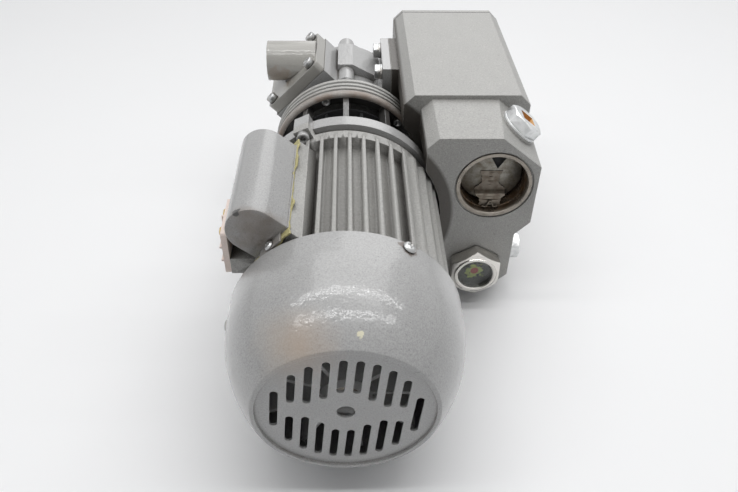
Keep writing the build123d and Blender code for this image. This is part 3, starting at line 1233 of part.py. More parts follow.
SHOULDER_MID_X = BOX_RIGHT_X - (NOSE_FRONT_SHOULDER + NOSE_ROOT_SHOULDER) / 4
SHOULDER_MID_Z = NOSE_TOP_Z - NOSE_SHOULDER_SLOPE * (NOSE_FRONT_SHOULDER + NOSE_ROOT_SHOULDER) / 4
SHOULDER_LENGTH = sqrt(1 + NOSE_SHOULDER_SLOPE**2)
FILLER_PLANE = Plane(
    origin=(AXIS_X + SHOULDER_MID_X, FILLER_Y, AXIS_Z + SHOULDER_MID_Z),
    x_dir=(0, 1, 0),
    z_dir=(NOSE_SHOULDER_SLOPE / SHOULDER_LENGTH, 0, 1 / SHOULDER_LENGTH),
).offset(FILLER_BOSS)
DRAIN_PLANE = Plane(
    origin=(AXIS_X + NOSE_STEP_X + DRAIN_BOSS, DRAIN_Y, AXIS_Z + DRAIN_Z), z_dir=(1, 0, 0)
)


def box_outline(inset, corner, mode=Mode.ADD):
    """Upright rectangle of the separator with cut corners, set in by a wall."""
    left = BOX_LEFT_X + inset
    right = BOX_RIGHT_X - inset
    bottom = BOX_BOTTOM_Z + inset
    top = BOX_TOP_Z - inset
    Polygon(
        (left + corner, top),
        (right - corner, top),
        (right, top - corner),
        (right, bottom + corner),
        (right - corner, bottom),
        (left + corner, bottom),
        (left, bottom + corner),
        (left, top - corner),
        align=None,
        mode=mode,
    )


def lid_screw_places():
    """Places of the six lid screws, as (x, z) from the shaft."""
    for z in (BOX_BOTTOM_Z + LID_SCREW_INSET, BOX_TOP_Z - LID_SCREW_INSET):
        yield BOX_LEFT_X + LID_SCREW_INSET, z
        yield BOX_RIGHT_X - LID_SCREW_INSET, z
    yield BOX_RIGHT_X - LID_SCREW_INSET, BOX_MID_Z
    yield BOX_SCALLOP_RADIUS + LID_SCREW_INSET, 0


def nose_outline(inset, shoulder):
    """Outline of the nose: chamfered top, stepped lower right side, set in by a wall."""
    left = NOSE_LEFT_X + inset
    right = BOX_RIGHT_X - inset
    step = NOSE_STEP_X - inset
    top = NOSE_TOP_Z - inset
    bottom = NOSE_BOTTOM_Z + inset
    Polygon(
        (left + BOX_CORNER, top),
        (right - shoulder, top),
        (right, top - shoulder * NOSE_SHOULDER_SLOPE),
        (right, NOSE_STEP_TOP_Z),
        (step, NOSE_STEP_TOP_Z - NOSE_STEP_SLOPE * (right - step)),
        (step, bottom + BOX_CORNER),
        (step - BOX_CORNER, bottom),
        (left, bottom),
        (left, top - BOX_CORNER),
        align=None,
    )


with BuildPart() as oil_separator:
    with BuildSketch(across(BOX_REAR_Y)):
        box_outline(0, BOX_CORNER)
    extrude(amount=BOX_LENGTH)
    with BuildSketch(across(BOX_Y)):
        nose_outline(0, NOSE_ROOT_SHOULDER)
    with BuildSketch(across(NOSE_Y)):
        nose_outline(0, NOSE_FRONT_SHOULDER)
    loft()
    disc(BOX_Y, BOX_REAR_Y, BOX_SCALLOP_RADIUS, Mode.SUBTRACT)
    disc(NOSE_Y, BOX_Y, NOSE_SCALLOP_RADIUS, Mode.SUBTRACT)
    side_plate(PAD_LEFT_X, BOX_LEFT_X - PAD_LEFT_X + BOX_WALL)
    with BuildSketch(across(CYLINDER_REAR_Y)):
        with Locations((BOX_LEFT_X + 10, SIDE_FLANGE_MID_Z)):
            Rectangle(20, SIDE_FLANGE_HEIGHT)
    extrude(amount=CYLINDER_LENGTH)
    for y in (FOOT_FRONT_Y, FOOT_REAR_Y):
        foot_pad(FOOT_RIGHT_X, y, AXIS_Z + BOX_BOTTOM_Z + BOX_WALL)
    peg(FILLER_PLANE, FILLER_WASHER_RADIUS + 1, -FILLER_BOSS - 4)
    peg(DRAIN_PLANE, DRAIN_WASHER_RADIUS + 1, -DRAIN_BOSS - 4)
    with BuildSketch(across(BOX_REAR_Y)):
        box_outline(BOX_WALL, BOX_INNER_CORNER)
        Circle(BOX_SCALLOP_RADIUS + BOX_WALL, mode=Mode.SUBTRACT)
    extrude(amount=BOX_LENGTH - BOX_WALL, mode=Mode.SUBTRACT)
    with BuildSketch(across(PARTITION_Y + PARTITION_THICKNESS)):
        box_outline(BOX_WALL / 2, BOX_INNER_CORNER)
        Circle(BOX_SCALLOP_RADIUS + BOX_WALL / 2, mode=Mode.SUBTRACT)
        with Locations((PORT_X, PORT_Z)):
            Circle(FILTER_RADIUS + SEAT_GAP, mode=Mode.SUBTRACT)
        with Locations((BOX_MID_X, BOX_BOTTOM_Z + BOX_WALL)):
            Rectangle(PARTITION_PASSAGE, PARTITION_PASSAGE, mode=Mode.SUBTRACT)
    extrude(amount=PARTITION_THICKNESS)
    with BuildSketch(across(BOX_REAR_Y)):
        with Locations(*lid_screw_places()):
            Circle(LID_BOSS_RADIUS)
    extrude(amount=LID_BOSS_LENGTH)
    with BuildSketch(across(BOX_REAR_Y)):
        with Locations(*lid_screw_places()):
            Circle(LID_SCREW_RADIUS + SCREW_GAP)
    extrude(amount=LID_BOSS_LENGTH - 2, mode=Mode.SUBTRACT)
    with BuildSketch(across(BOX_Y + BOX_WALL)):
        nose_outline(BOX_WALL, NOSE_FRONT_SHOULDER)
        Circle(NOSE_SCALLOP_RADIUS + BOX_WALL, mode=Mode.SUBTRACT)
    extrude(amount=NOSE_LENGTH + BOX_WALL - NOSE_WALL, mode=Mode.SUBTRACT)
    side_holes(PAD_LEFT_X, SIDE_BOLT_DEPTH, SIDE_BOLT_HOLE, *side_bolt_places(0.5))
    side_holes(PAD_LEFT_X, BOX_SCALLOP_RADIUS, GALLERY_PORT_RADIUS, GALLERY_PORT)
    side_holes(PAD_LEFT_X, INNER_SCREW_REACH, INNER_SCREW_HOLE, *side_bolt_places(-0.5))
    peg(FILLER_PLANE, FILLER_THREAD_RADIUS + SCREW_GAP, -FILLER_THREAD_LENGTH - 6, Mode.SUBTRACT)
    peg(DRAIN_PLANE, DRAIN_THREAD_RADIUS + SCREW_GAP, -DRAIN_THREAD_LENGTH - 6, Mode.SUBTRACT)
    disc(NOSE_Y, NOSE_Y + PORT_RING_LENGTH, PORT_RING_RADIUS, Mode.SUBTRACT, PORT_X, PORT_Z)
    disc(NOSE_Y, NOSE_Y + PORT_GROOVE_DEPTH, PORT_GROOVE_RADIUS, Mode.SUBTRACT, PORT_X, PORT_Z)
    disc(NOSE_Y, NOSE_Y + NOSE_WALL, GLASS_THREAD_RADIUS, Mode.SUBTRACT, GLASS_X, GLASS_Z)
    for y in (FOOT_FRONT_Y, FOOT_REAR_Y):
        foot_hole(FOOT_RIGHT_X, y)
save(oil_separator, "oil_separator")

with BuildPart() as inner_screws:
    for y, z in side_bolt_places(-0.5):
        wall = sqrt((BOX_SCALLOP_RADIUS + BOX_WALL) ** 2 - (z - INNER_SCREW_HEAD_RADIUS) ** 2)
        socket_screw(
            Plane(origin=(AXIS_X + wall, y, AXIS_Z + z), z_dir=(1, 0, 0)),
            INNER_SCREW_RADIUS,
            wall - SIDE_FLANGE_RIGHT_X + INNER_SCREW_DEPTH - 1,
            INNER_SCREW_HEAD_RADIUS,
            INNER_SCREW_HEAD_HEIGHT,
        )
save(inner_screws, "inner_screws")

# ---------------------------------------------------------------- separator lid
LID_Y = BOX_REAR_Y + BOX_GASKET


with BuildPart() as lid_gasket:
    with BuildSketch(across(LID_Y)):
        box_outline(0, BOX_CORNER)
        box_outline(BOX_WALL, BOX_INNER_CORNER, Mode.SUBTRACT)
        Circle(BOX_SCALLOP_RADIUS + BOX_WALL)
        with Locations(*lid_screw_places()):
            Circle(LID_BOSS_RADIUS)
            Circle(LID_SCREW_RADIUS + SCREW_GAP, mode=Mode.SUBTRACT)
        box_outline(0, BOX_CORNER, Mode.INTERSECT)
        Circle(BOX_SCALLOP_RADIUS, mode=Mode.SUBTRACT)
    extrude(amount=BOX_GASKET)
save(lid_gasket, "lid_gasket")

with BuildPart() as separator_lid:
    with BuildSketch(across(LID_Y + BOX_LID)):
        box_outline(0, BOX_CORNER)
        Circle(BOX_SCALLOP_RADIUS, mode=Mode.SUBTRACT)
    extrude(amount=BOX_LID)
    with BuildSketch(across(LID_Y + BOX_LID)):
        with Locations(*lid_screw_places()):
            Circle(LID_SCREW_RADIUS + SCREW_GAP)
    extrude(amount=BOX_LID, mode=Mode.SUBTRACT)
save(separator_lid, "separator_lid")

with BuildPart() as lid_screws:
    for x, z in lid_screw_places():
        socket_screw(
            Plane(origin=(AXIS_X + x, LID_Y + BOX_LID, AXIS_Z + z), z_dir=(0, 1, 0)),
            LID_SCREW_RADIUS,
            BOX_LID + BOX_GASKET + LID_BOSS_LENGTH - 3,
            LID_SCREW_HEAD_RADIUS,
            LID_SCREW_HEAD_HEIGHT,
        )
save(lid_screws, "lid_screws")

# ---------------------------------------------------------------- exhaust port and filter
with BuildPart() as exhaust_port_ring:
    disc(NOSE_Y, NOSE_Y + PORT_RING_LENGTH, PORT_RING_RADIUS, Mode.ADD, PORT_X, PORT_Z)
    disc(NOSE_Y, NOSE_Y + PORT_RING_LENGTH, PORT_RING_BORE, Mode.SUBTRACT, PORT_X, PORT_Z)
    disc(NOSE_Y, NOSE_Y + PORT_SPIGOT_DEPTH, PORT_SPIGOT_RADIUS, Mode.SUBTRACT, PORT_X, PORT_Z)
    mouth = exhaust_port_ring.edges().group_by(Axis.Y)[0]
    chamfer(mouth.sort_by(SortBy.LENGTH)[0], PORT_RING_EDGE)
save(exhaust_port_ring, "exhaust_port_ring")

with BuildPart() as exhaust_filter:
    disc(FILTER_Y, FILTER_Y + FILTER_LENGTH, FILTER_RADIUS, Mode.ADD, PORT_X, PORT_Z)
    disc(
        FILTER_Y + 4, FILTER_Y + FILTER_LENGTH, FILTER_CORE_RADIUS, Mode.SUBTRACT, PORT_X, PORT_Z
    )
    rims = exhaust_filter.edges().filter_by(GeomType.CIRCLE).group_by(SortBy.RADIUS)[-1]
    chamfer(rims, 1.5)
save(exhaust_filter, "exhaust_filter")

with BuildPart() as leaf_spring:
    with BuildSketch(across(FILTER_Y)):
        with Locations((PORT_X, PORT_Z)):
            Rectangle(LEAF_WIDTH, LEAF_LENGTH)
            waist = (LEAF_WIDTH - LEAF_WAIST) / 2
            with GridLocations(LEAF_WIDTH, 0, 2, 1):
                Ellipse(waist, LEAF_LENGTH * 0.3, mode=Mode.SUBTRACT)
    extrude(amount=LEAF_THICKNESS)
    with BuildSketch(across(FILTER_Y - LEAF_THICKNESS)):
        with Locations((PORT_X, PORT_Z - LEAF_LENGTH / 2 + LEAF_THICKNESS / 2)):
            Rectangle(LEAF_WIDTH, LEAF_THICKNESS)
    extrude(amount=LEAF_LIP)
save(leaf_spring, "leaf_spring")

# ---------------------------------------------------------------- sight glass
GLASS_NUT_Y = NOSE_Y - GLASS_SEAL - GLASS_NUT_LENGTH
LENS_Y = GLASS_NUT_Y + GLASS_SETBACK

with BuildPart() as sight_glass_nut:
    with BuildSketch(across(GLASS_NUT_Y + GLASS_NUT_LENGTH)):
        with Locations((GLASS_X, GLASS_Z)):
            RegularPolygon(GLASS_NUT_HEX / 2, 6, major_radius=False, rotation=30)
    extrude(amount=GLASS_NUT_LENGTH)
    thread = GLASS_THREAD_RADIUS - RUNNING_FIT
    disc(GLASS_NUT_Y, NOSE_Y + NOSE_WALL, thread, Mode.ADD, GLASS_X, GLASS_Z)
    disc(GLASS_NUT_Y, NOSE_Y + NOSE_WALL, GLASS_BORE_RADIUS, Mode.SUBTRACT, GLASS_X, GLASS_Z)
save(sight_glass_nut, "sight_glass_nut")

with BuildPart() as sight_glass:
    lens = GLASS_BORE_RADIUS - RUNNING_FIT
    disc(LENS_Y, LENS_Y + GLASS_THICKNESS, lens, Mode.ADD, GLASS_X, GLASS_Z)
save(sight_glass, "sight_glass")

with BuildPart() as level_reflector:
    near = LENS_Y + GLASS_THICKNESS + REFLECTOR_GAP
    disc(near, near + REFLECTOR_THICKNESS, lens, Mode.ADD, GLASS_X, GLASS_Z)
save(level_reflector, "level_reflector")

with BuildPart() as sight_glass_seal:
    disc(NOSE_Y - GLASS_SEAL, NOSE_Y, GLASS_NUT_HEX / 2 - 1, Mode.ADD, GLASS_X, GLASS_Z)
    disc(NOSE_Y - GLASS_SEAL, NOSE_Y, GLASS_THREAD_RADIUS, Mode.SUBTRACT, GLASS_X, GLASS_Z)
save(sight_glass_seal, "sight_glass_seal")

# ---------------------------------------------------------------- filler and drain plugs
def sealed_plug(plane, washer, flats, height, radius, length):
    """Hexagon plug whose head stands on its washer and whose thread goes down into a boss."""
    hex_head(plane.offset(washer), flats, height)
    peg(plane.offset(washer), radius, -washer - length)


def seal_washer(plane, thickness, outer, inner):
    """Flat sealing ring under a plug."""
    peg(plane, outer, thickness)
    peg(plane, inner, thickness, Mode.SUBTRACT)


with BuildPart() as filler_plug:
    sealed_plug(
        FILLER_PLANE, FILLER_WASHER, FILLER_HEX, FILLER_HEIGHT, FILLER_THREAD_RADIUS,
        FILLER_THREAD_LENGTH,
    )
    with BuildSketch(FILLER_PLANE.offset(FILLER_WASHER + FILLER_HEIGHT)):
        Rectangle(FILLER_SQUARE, FILLER_SQUARE)
    extrude(amount=-FILLER_SQUARE_DEPTH, mode=Mode.SUBTRACT)
save(filler_plug, "filler_plug")

with BuildPart() as filler_washer:
    seal_washer(FILLER_PLANE, FILLER_WASHER, FILLER_WASHER_RADIUS, FILLER_THREAD_RADIUS + SCREW_GAP)
save(filler_washer, "filler_washer")

with BuildPart() as drain_plug:
    sealed_plug(
        DRAIN_PLANE, DRAIN_WASHER, DRAIN_HEX, DRAIN_HEIGHT, DRAIN_THREAD_RADIUS,
        DRAIN_THREAD_LENGTH,
    )
save(drain_plug, "drain_plug")

with BuildPart() as drain_washer:
    seal_washer(DRAIN_PLANE, DRAIN_WASHER, DRAIN_WASHER_RADIUS, DRAIN_THREAD_RADIUS + SCREW_GAP)
save(drain_washer, "drain_washer")

# ---------------------------------------------------------------- feet
FOOT_PLACES = [
    (x, y) for x in (FOOT_LEFT_X, FOOT_RIGHT_X) for y in (FOOT_FRONT_Y, FOOT_REAR_Y)
]

with BuildPart() as rubber_feet:
    for x, y in FOOT_PLACES:
        peg(on_floor(x, y), FOOT_RADIUS, FOOT_HEIGHT)
        peg(on_floor(x, y), FOOT_SOCKET_RADIUS, FOOT_SOCKET_DEPTH, Mode.SUBTRACT)
        peg(on_floor(x, y, FOOT_HEIGHT), FOOT_STUD_RADIUS, -FOOT_STUD_SEAT, Mode.SUBTRACT)
save(rubber_feet, "rubber_feet")

with BuildPart() as foot_studs:
    for x, y in FOOT_PLACES:
        peg(on_floor(x, y, FOOT_HEIGHT - FOOT_STUD_SEAT), FOOT_STUD_RADIUS,
            FOOT_STUD_LENGTH + FOOT_STUD_SEAT)
save(foot_studs, "foot_studs")
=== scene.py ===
"""Looks of an oil-sealed rotary vane vacuum pump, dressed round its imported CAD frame."""

import json
import math

import bmesh
import bpy
from bpy.props import FloatProperty, FloatVectorProperty, IntProperty, PointerProperty
from mathutils import Euler, Matrix, Vector, noise

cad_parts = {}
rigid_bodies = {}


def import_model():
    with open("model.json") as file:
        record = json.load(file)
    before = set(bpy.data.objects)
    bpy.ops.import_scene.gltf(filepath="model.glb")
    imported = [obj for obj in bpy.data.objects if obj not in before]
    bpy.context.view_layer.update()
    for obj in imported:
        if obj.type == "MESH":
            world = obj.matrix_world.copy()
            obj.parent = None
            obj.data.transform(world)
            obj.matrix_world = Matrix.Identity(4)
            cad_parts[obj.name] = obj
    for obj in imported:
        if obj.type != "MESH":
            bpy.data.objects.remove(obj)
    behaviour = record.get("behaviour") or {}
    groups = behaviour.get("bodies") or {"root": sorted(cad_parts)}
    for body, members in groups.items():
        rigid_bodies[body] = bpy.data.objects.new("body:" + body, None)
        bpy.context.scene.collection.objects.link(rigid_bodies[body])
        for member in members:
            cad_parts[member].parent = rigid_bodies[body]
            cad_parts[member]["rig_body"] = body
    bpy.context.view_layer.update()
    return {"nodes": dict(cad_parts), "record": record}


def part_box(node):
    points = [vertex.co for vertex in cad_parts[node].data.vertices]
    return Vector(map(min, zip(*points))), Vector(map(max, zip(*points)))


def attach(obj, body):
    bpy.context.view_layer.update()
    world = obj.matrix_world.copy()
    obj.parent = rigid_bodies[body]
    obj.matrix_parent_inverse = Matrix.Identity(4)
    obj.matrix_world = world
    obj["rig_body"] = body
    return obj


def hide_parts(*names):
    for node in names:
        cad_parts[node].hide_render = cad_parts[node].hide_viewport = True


bl_info = {
    "name": "Rotary Vane Vacuum Pump",
    "version": (1, 0, 0),
    "blender": (4, 5, 0),
    "location": "View3D > Sidebar > Vacuum Pump",
    "description": "Finishes the castings, fittings and stage of a vane vacuum pump",
    "category": "Object",
}

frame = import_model()
MM = 0.001

# How near points are before they count as one
CAD_MERGE = 0.002 * MM
SPIN_MERGE = 0.001 * MM
CUT_MERGE = 0.003 * MM
BEVEL_MERGE = 0.0002 * MM

# The capacitor's cover and the intake flange lean away from the upright
COVER_TILT = math.radians(139.7)
COVER_UP = Vector((math.cos(COVER_TILT), 0, math.sin(COVER_TILT)))
INTAKE_UP = Vector((-0.7071, 0, 0.7071))

# A fin's tip is a long, narrow face near the frame's outer circle
FIN_LENGTH = 60 * MM
FIN_WIDTH = (MM, 5 * MM)
FIN_REACH = 75 * MM
FIN_ROOT = 1.2 * MM

# Reach from the shaft's line of the painted shade, with oily dirt, on the separator's face by the
# motor
SCOOP_SHADE_REACH = 88.9 * MM


def middle(node):
    """Centre of a CAD node's box."""
    low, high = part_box(node)
    return (low + high) / 2


SHAFT = middle("motor_shaft")


# ---------------------------------------------------------------- settings
def length_prop(name, description, millimetres):
    """Property for a length."""
    return FloatProperty(
        name=name, description=description, default=millimetres * MM,
        subtype="DISTANCE", unit="LENGTH",
    )


def angle_prop(name, description, degrees):
    """Property for an angle."""
    return FloatProperty(
        name=name, description=description, default=math.radians(degrees),
        subtype="ANGLE", unit="ROTATION",
    )


def colour_prop(name, description, value):
    """Property for a colour."""
    return FloatVectorProperty(
        name=name, description=description, default=value, size=3, subtype="COLOR",
    )


class PumpSizes(bpy.types.PropertyGroup):
    """Sizes of the pieces that are modelled here."""

    casting_edge: length_prop("Casting Edge", "Width of the rounding on cast edges", 0.9)
    sheet_edge: length_prop("Sheet Edge", "Width of the rounding on pressed and turned edges", 0.35)
    filler_hex: length_prop("Filler Hexagon", "Flats of the filler plug", 29)
    filler_square: length_prop("Filler Square", "Width of the square recess in the filler plug", 13)
    filler_tilt: angle_prop("Filler Tilt", "Lean of the filler plug to the right", 38.66)
    drain_hex: length_prop("Drain Hexagon", "Flats of the drain plug", 22)
    bolt_hex: length_prop("Bolt Hexagon", "Flats of the side joint's bolts", 13)
    glass_hex: length_prop("Glass Hexagon", "Flats of the sight glass nut", 42)
    glass_bore: length_prop("Glass Bore", "Radius of the window in the sight glass nut", 15.5)
    gasket_crinkle: length_prop("Gasket Crinkle", "How far the cover gasket's edge wanders", 1.25)
    fin_draft: FloatProperty(
        name="Fin Draft", description="Share by which the faces of a fin's tip narrow",
        default=0.55, min=0.0, max=0.8,
    )
    round_steps: IntProperty(
        name="Round Steps", description="Segments round a turned piece", default=96, min=24,
    )


class PumpColours(bpy.types.PropertyGroup):
    """Colours of the finishes."""

    paint: colour_prop("Grey Paint", "Enamel on the castings", (0.352, 0.347, 0.332))
    hammered: colour_prop(
        "Hammered Paint", "Glossier enamel on the cowl, the covers and the pump",
        (0.35, 0.348, 0.345),
    )
    # Dark brown for oily dirt and for the painted shade in corners, gaps and recesses
    shade_and_grime: colour_prop("Grime", "Oily dust in corners", (0.075, 0.062, 0.048))
    zinc: colour_prop("Zinc", "Plated screws and plugs", (0.74, 0.75, 0.75))
    nickel: colour_prop("Nickel", "Nut of the sight glass", (0.74, 0.72, 0.68))
    steel: colour_prop("Steel", "Bare steel with an oil film", (0.42, 0.38, 0.33))
    stain: colour_prop("Stain", "Brown oil stain on the shroud's rim", (0.20, 0.145, 0.11))
    recess: colour_prop("Recess Brown", "Floor of the filler plug's recess", (0.56, 0.29, 0.09))
    gasket: colour_prop("Gasket", "Olive gasket fibre", (0.40, 0.36, 0.17))
    buff: colour_prop("Terminal Buff", "Moulding of the terminal block", (0.82, 0.70, 0.64))
    brass: colour_prop("Brass", "Terminal screws", (0.68, 0.50, 0.22))
    copper: colour_prop("Copper", "Varnished windings", (0.50, 0.19, 0.07))
    black: colour_prop("Black", "Rubber and dark mouldings", (0.018, 0.018, 0.019))
    # Lighter than the grey moulding itself: painted light inside the cowl, where the lamps hardly
    # reach
    fan: colour_prop("Fan Grey", "Moulding of the motor's fan", (0.70, 0.70, 0.69))
    oil: colour_prop("Oil", "Dark oil behind the sight glass", (0.006, 0.007, 0.005))
    marker: colour_prop("Level Marker", "Red level marker in the sight glass", (0.36, 0.03, 0.02))
    backdrop: colour_prop("Backdrop", "Floor and background", (0.885, 0.885, 0.89))


class StageSizes(bpy.types.PropertyGroup):
    """Camera and lamps."""

    camera_place: FloatVectorProperty(
        name="Camera Place", description="Where the camera stands",
        default=(-0.0314, -0.5709, 0.4577), size=3, subtype="TRANSLATION", unit="LENGTH",
    )
    pitch: angle_prop("Pitch", "How far the camera looks down", 40.54)
    yaw: angle_prop("Yaw", "How far the camera looks to the right", 1.97)
    roll: angle_prop("Roll", "Turn of the camera about its own line of sight", 1.0)
    lens: FloatProperty(
        name="Lens", description="Focal length in millimetres on a 36 mm sensor", default=33.89,
    )
    floor_half: FloatProperty(
        name="Floor Half", description="Half the width of the floor",
        default=6.0, subtype="DISTANCE", unit="LENGTH",
    )
    world_strength: FloatProperty(
        name="World Strength", description="Light from all round", default=0.28, min=0.0,
    )
    key_power: FloatProperty(
        name="Key Power", description="Power of the overhead softbox in watts", default=17.5,
    )
    panel_power: FloatProperty(
        name="Panel Power", description="Power of the tall panel behind the pump in watts",
        default=13.0,
    )
    strip_power: FloatProperty(
        name="Strip Power", description="Power of each strip lamp in watts", default=5.2,
    )


def sizes():
    return bpy.context.scene.pump_sizes


def colours():
    return bpy.context.scene.pump_colours


def stage_sizes():
    return bpy.context.scene.pump_stage


# ---------------------------------------------------------------- materials
class Shader:
    """Node tree of one material, with short calls for the nodes that the finishes share."""

    def __init__(self, name, colour, metallic=0.0, roughness=0.5, coat=0.0):
        self.material = bpy.data.materials.new(name)
        self.material.use_nodes = True
        self.tree = self.material.node_tree
        self.base = self.tree.nodes["Principled BSDF"]
        self.base.inputs["Base Color"].default_value = (*colour, 1)
        self.base.inputs["Metallic"].default_value = metallic
        self.base.inputs["Roughness"].default_value = roughness
        self.base.inputs["Coat Weight"].default_value = coat
        self.base.inputs["Coat Roughness"].default_value = 0.25
        self.place = self.node("ShaderNodeTexCoord").outputs["Object"]

    def node(self, kind, **settings):
        made = self.tree.nodes.new(kind)
        for key, value in settings.items():
            setattr(made, key, value)
        return made

    def link(self, source, target):
        self.tree.links.new(source, target)

    def mapping(self, centre=(0, 0, 0), turn=(0, 0, 0), scale=(1, 1, 1)):
        """Object coordinates measured from a centre, turned and scaled."""
        made = self.node("ShaderNodeMapping", vector_type="POINT")
        shift = -(Euler(turn).to_matrix() @ Vector(a * b for a, b in zip(centre, scale)))
        made.inputs["Location"].default_value = shift
        made.inputs["Rotation"].default_value = turn
        made.inputs["Scale"].default_value = scale
        self.link(self.place, made.inputs["Vector"])
        return made.outputs["Vector"]

    def noise(self, size, detail=2.0, vector=None, rough=0.5):
        """Noise whose features are about a size in metres."""
        made = self.node("ShaderNodeTexNoise")
        made.inputs["Scale"].default_value = 1 / size
        made.inputs["Detail"].default_value = detail
        made.inputs["Roughness"].default_value = rough
        self.link(vector or self.place, made.inputs["Vector"])
        return made.outputs["Fac"]

    def ramp(self, value, low, high, start=0.0, end=1.0):
        """Value mapped from one range to another and held at its ends."""
        made = self.node("ShaderNodeMapRange")
        limits = {"From Min": low, "From Max": high, "To Min": start, "To Max": end}
        for name, number in limits.items():
            made.inputs[name].default_value = number
        self.link(value, made.inputs["Value"])
        return made.outputs["Result"]

    def maths(self, kind, first, second):
        made = self.node("ShaderNodeMath", operation=kind, use_clamp=True)
        for socket, value in zip(made.inputs, (first, second)):
            if isinstance(value, (int, float)):
                socket.default_value = value
            else:
                self.link(value, socket)
        return made.outputs["Value"]

    def blend(self, share, under, over, kind="MIX"):
        """Colour mixed from two, each a colour or an output."""
        made = self.node("ShaderNodeMix", data_type="RGBA", blend_type=kind)
        self.link(share, made.inputs["Factor"])
        for name, value in (("A", under), ("B", over)):
            socket = next(s for s in made.inputs if s.name == name and s.type == "RGBA")
            if hasattr(value, "is_linked"):
                self.link(value, socket)
            else:
                socket.default_value = (*value, 1)
        return next(s for s in made.outputs if s.type == "RGBA")

    def colour(self, source):
        self.link(source, self.base.inputs["Base Color"])

    def gloss(self, source):
        self.link(source, self.base.inputs["Roughness"])

    def soft_edges(self, reach):
        """Normal that rounds the sharp edges within a reach."""
        made = self.node("ShaderNodeBevel", samples=6)
        made.inputs["Radius"].default_value = reach
        return made.outputs["Normal"]

    def bump(self, source, height, strength=1.0, normal=None):
        made = self.node("ShaderNodeBump")
        made.inputs["Strength"].default_value = strength
        made.inputs["Distance"].default_value = height
        self.link(source, made.inputs["Height"])
        if normal:
            self.link(normal, made.inputs["Normal"])
        self.link(made.outputs["Normal"], self.base.inputs["Normal"])
        return made.outputs["Normal"]

    def corners(self, reach, least=0.25, most=0.75):
        """1 in corners and gaps, found by ambient occlusion, where dirt collects and shade falls; 0
        in the open.
        """
        made = self.node("ShaderNodeAmbientOcclusion", samples=6)
        made.inputs["Distance"].default_value = reach
        return self.ramp(made.outputs["AO"], least, most, 1.0, 0.0)

    def depths(self):
        """Up to 0.9 far inside gaps that light hardly reaches, 0 in the open: the mask of a painted
        shade.
        """
        made = self.node("ShaderNodeAmbientOcclusion", samples=6)
        made.inputs["Distance"].default_value = 45 * MM
        return self.ramp(made.outputs["AO"], 0.10, 0.34, 0.9, 0.0)

    def spot(self, centre, radius, weight, rag=0.45, core=0.75):
        """Weight inside a ragged spot's core about a centre, 0 well outside it."""
        away = self.node("ShaderNodeVectorMath", operation="DISTANCE")
        self.link(self.place, away.inputs[0])
        away.inputs[1].default_value = centre
        ragged = self.ramp(self.noise(radius * 0.9, 3), 0.3, 0.7, -rag * radius, rag * radius)
        reach = self.maths("ADD", away.outputs["Value"], ragged)
        return self.ramp(reach, radius * core, radius * 1.05, weight, 0.0)

    def edges(self, reach):
        """1 on outside edges, where paint rubs bare and a painted highlight is laid, 0 on flat
        faces.
        """
        soft = self.node("ShaderNodeBevel", samples=6)
        soft.inputs["Radius"].default_value = reach
        true = self.node("ShaderNodeNewGeometry").outputs["Normal"]
        dot = self.node("ShaderNodeVectorMath", operation="DOT_PRODUCT")
        self.link(soft.outputs["Normal"], dot.inputs[0])
        self.link(true, dot.inputs[1])
        return self.ramp(dot.outputs["Value"], 0.985, 0.80, 0.0, 1.0)


def shade(colour, factor):
    return tuple(min(1.0, c * factor) for c in colour)


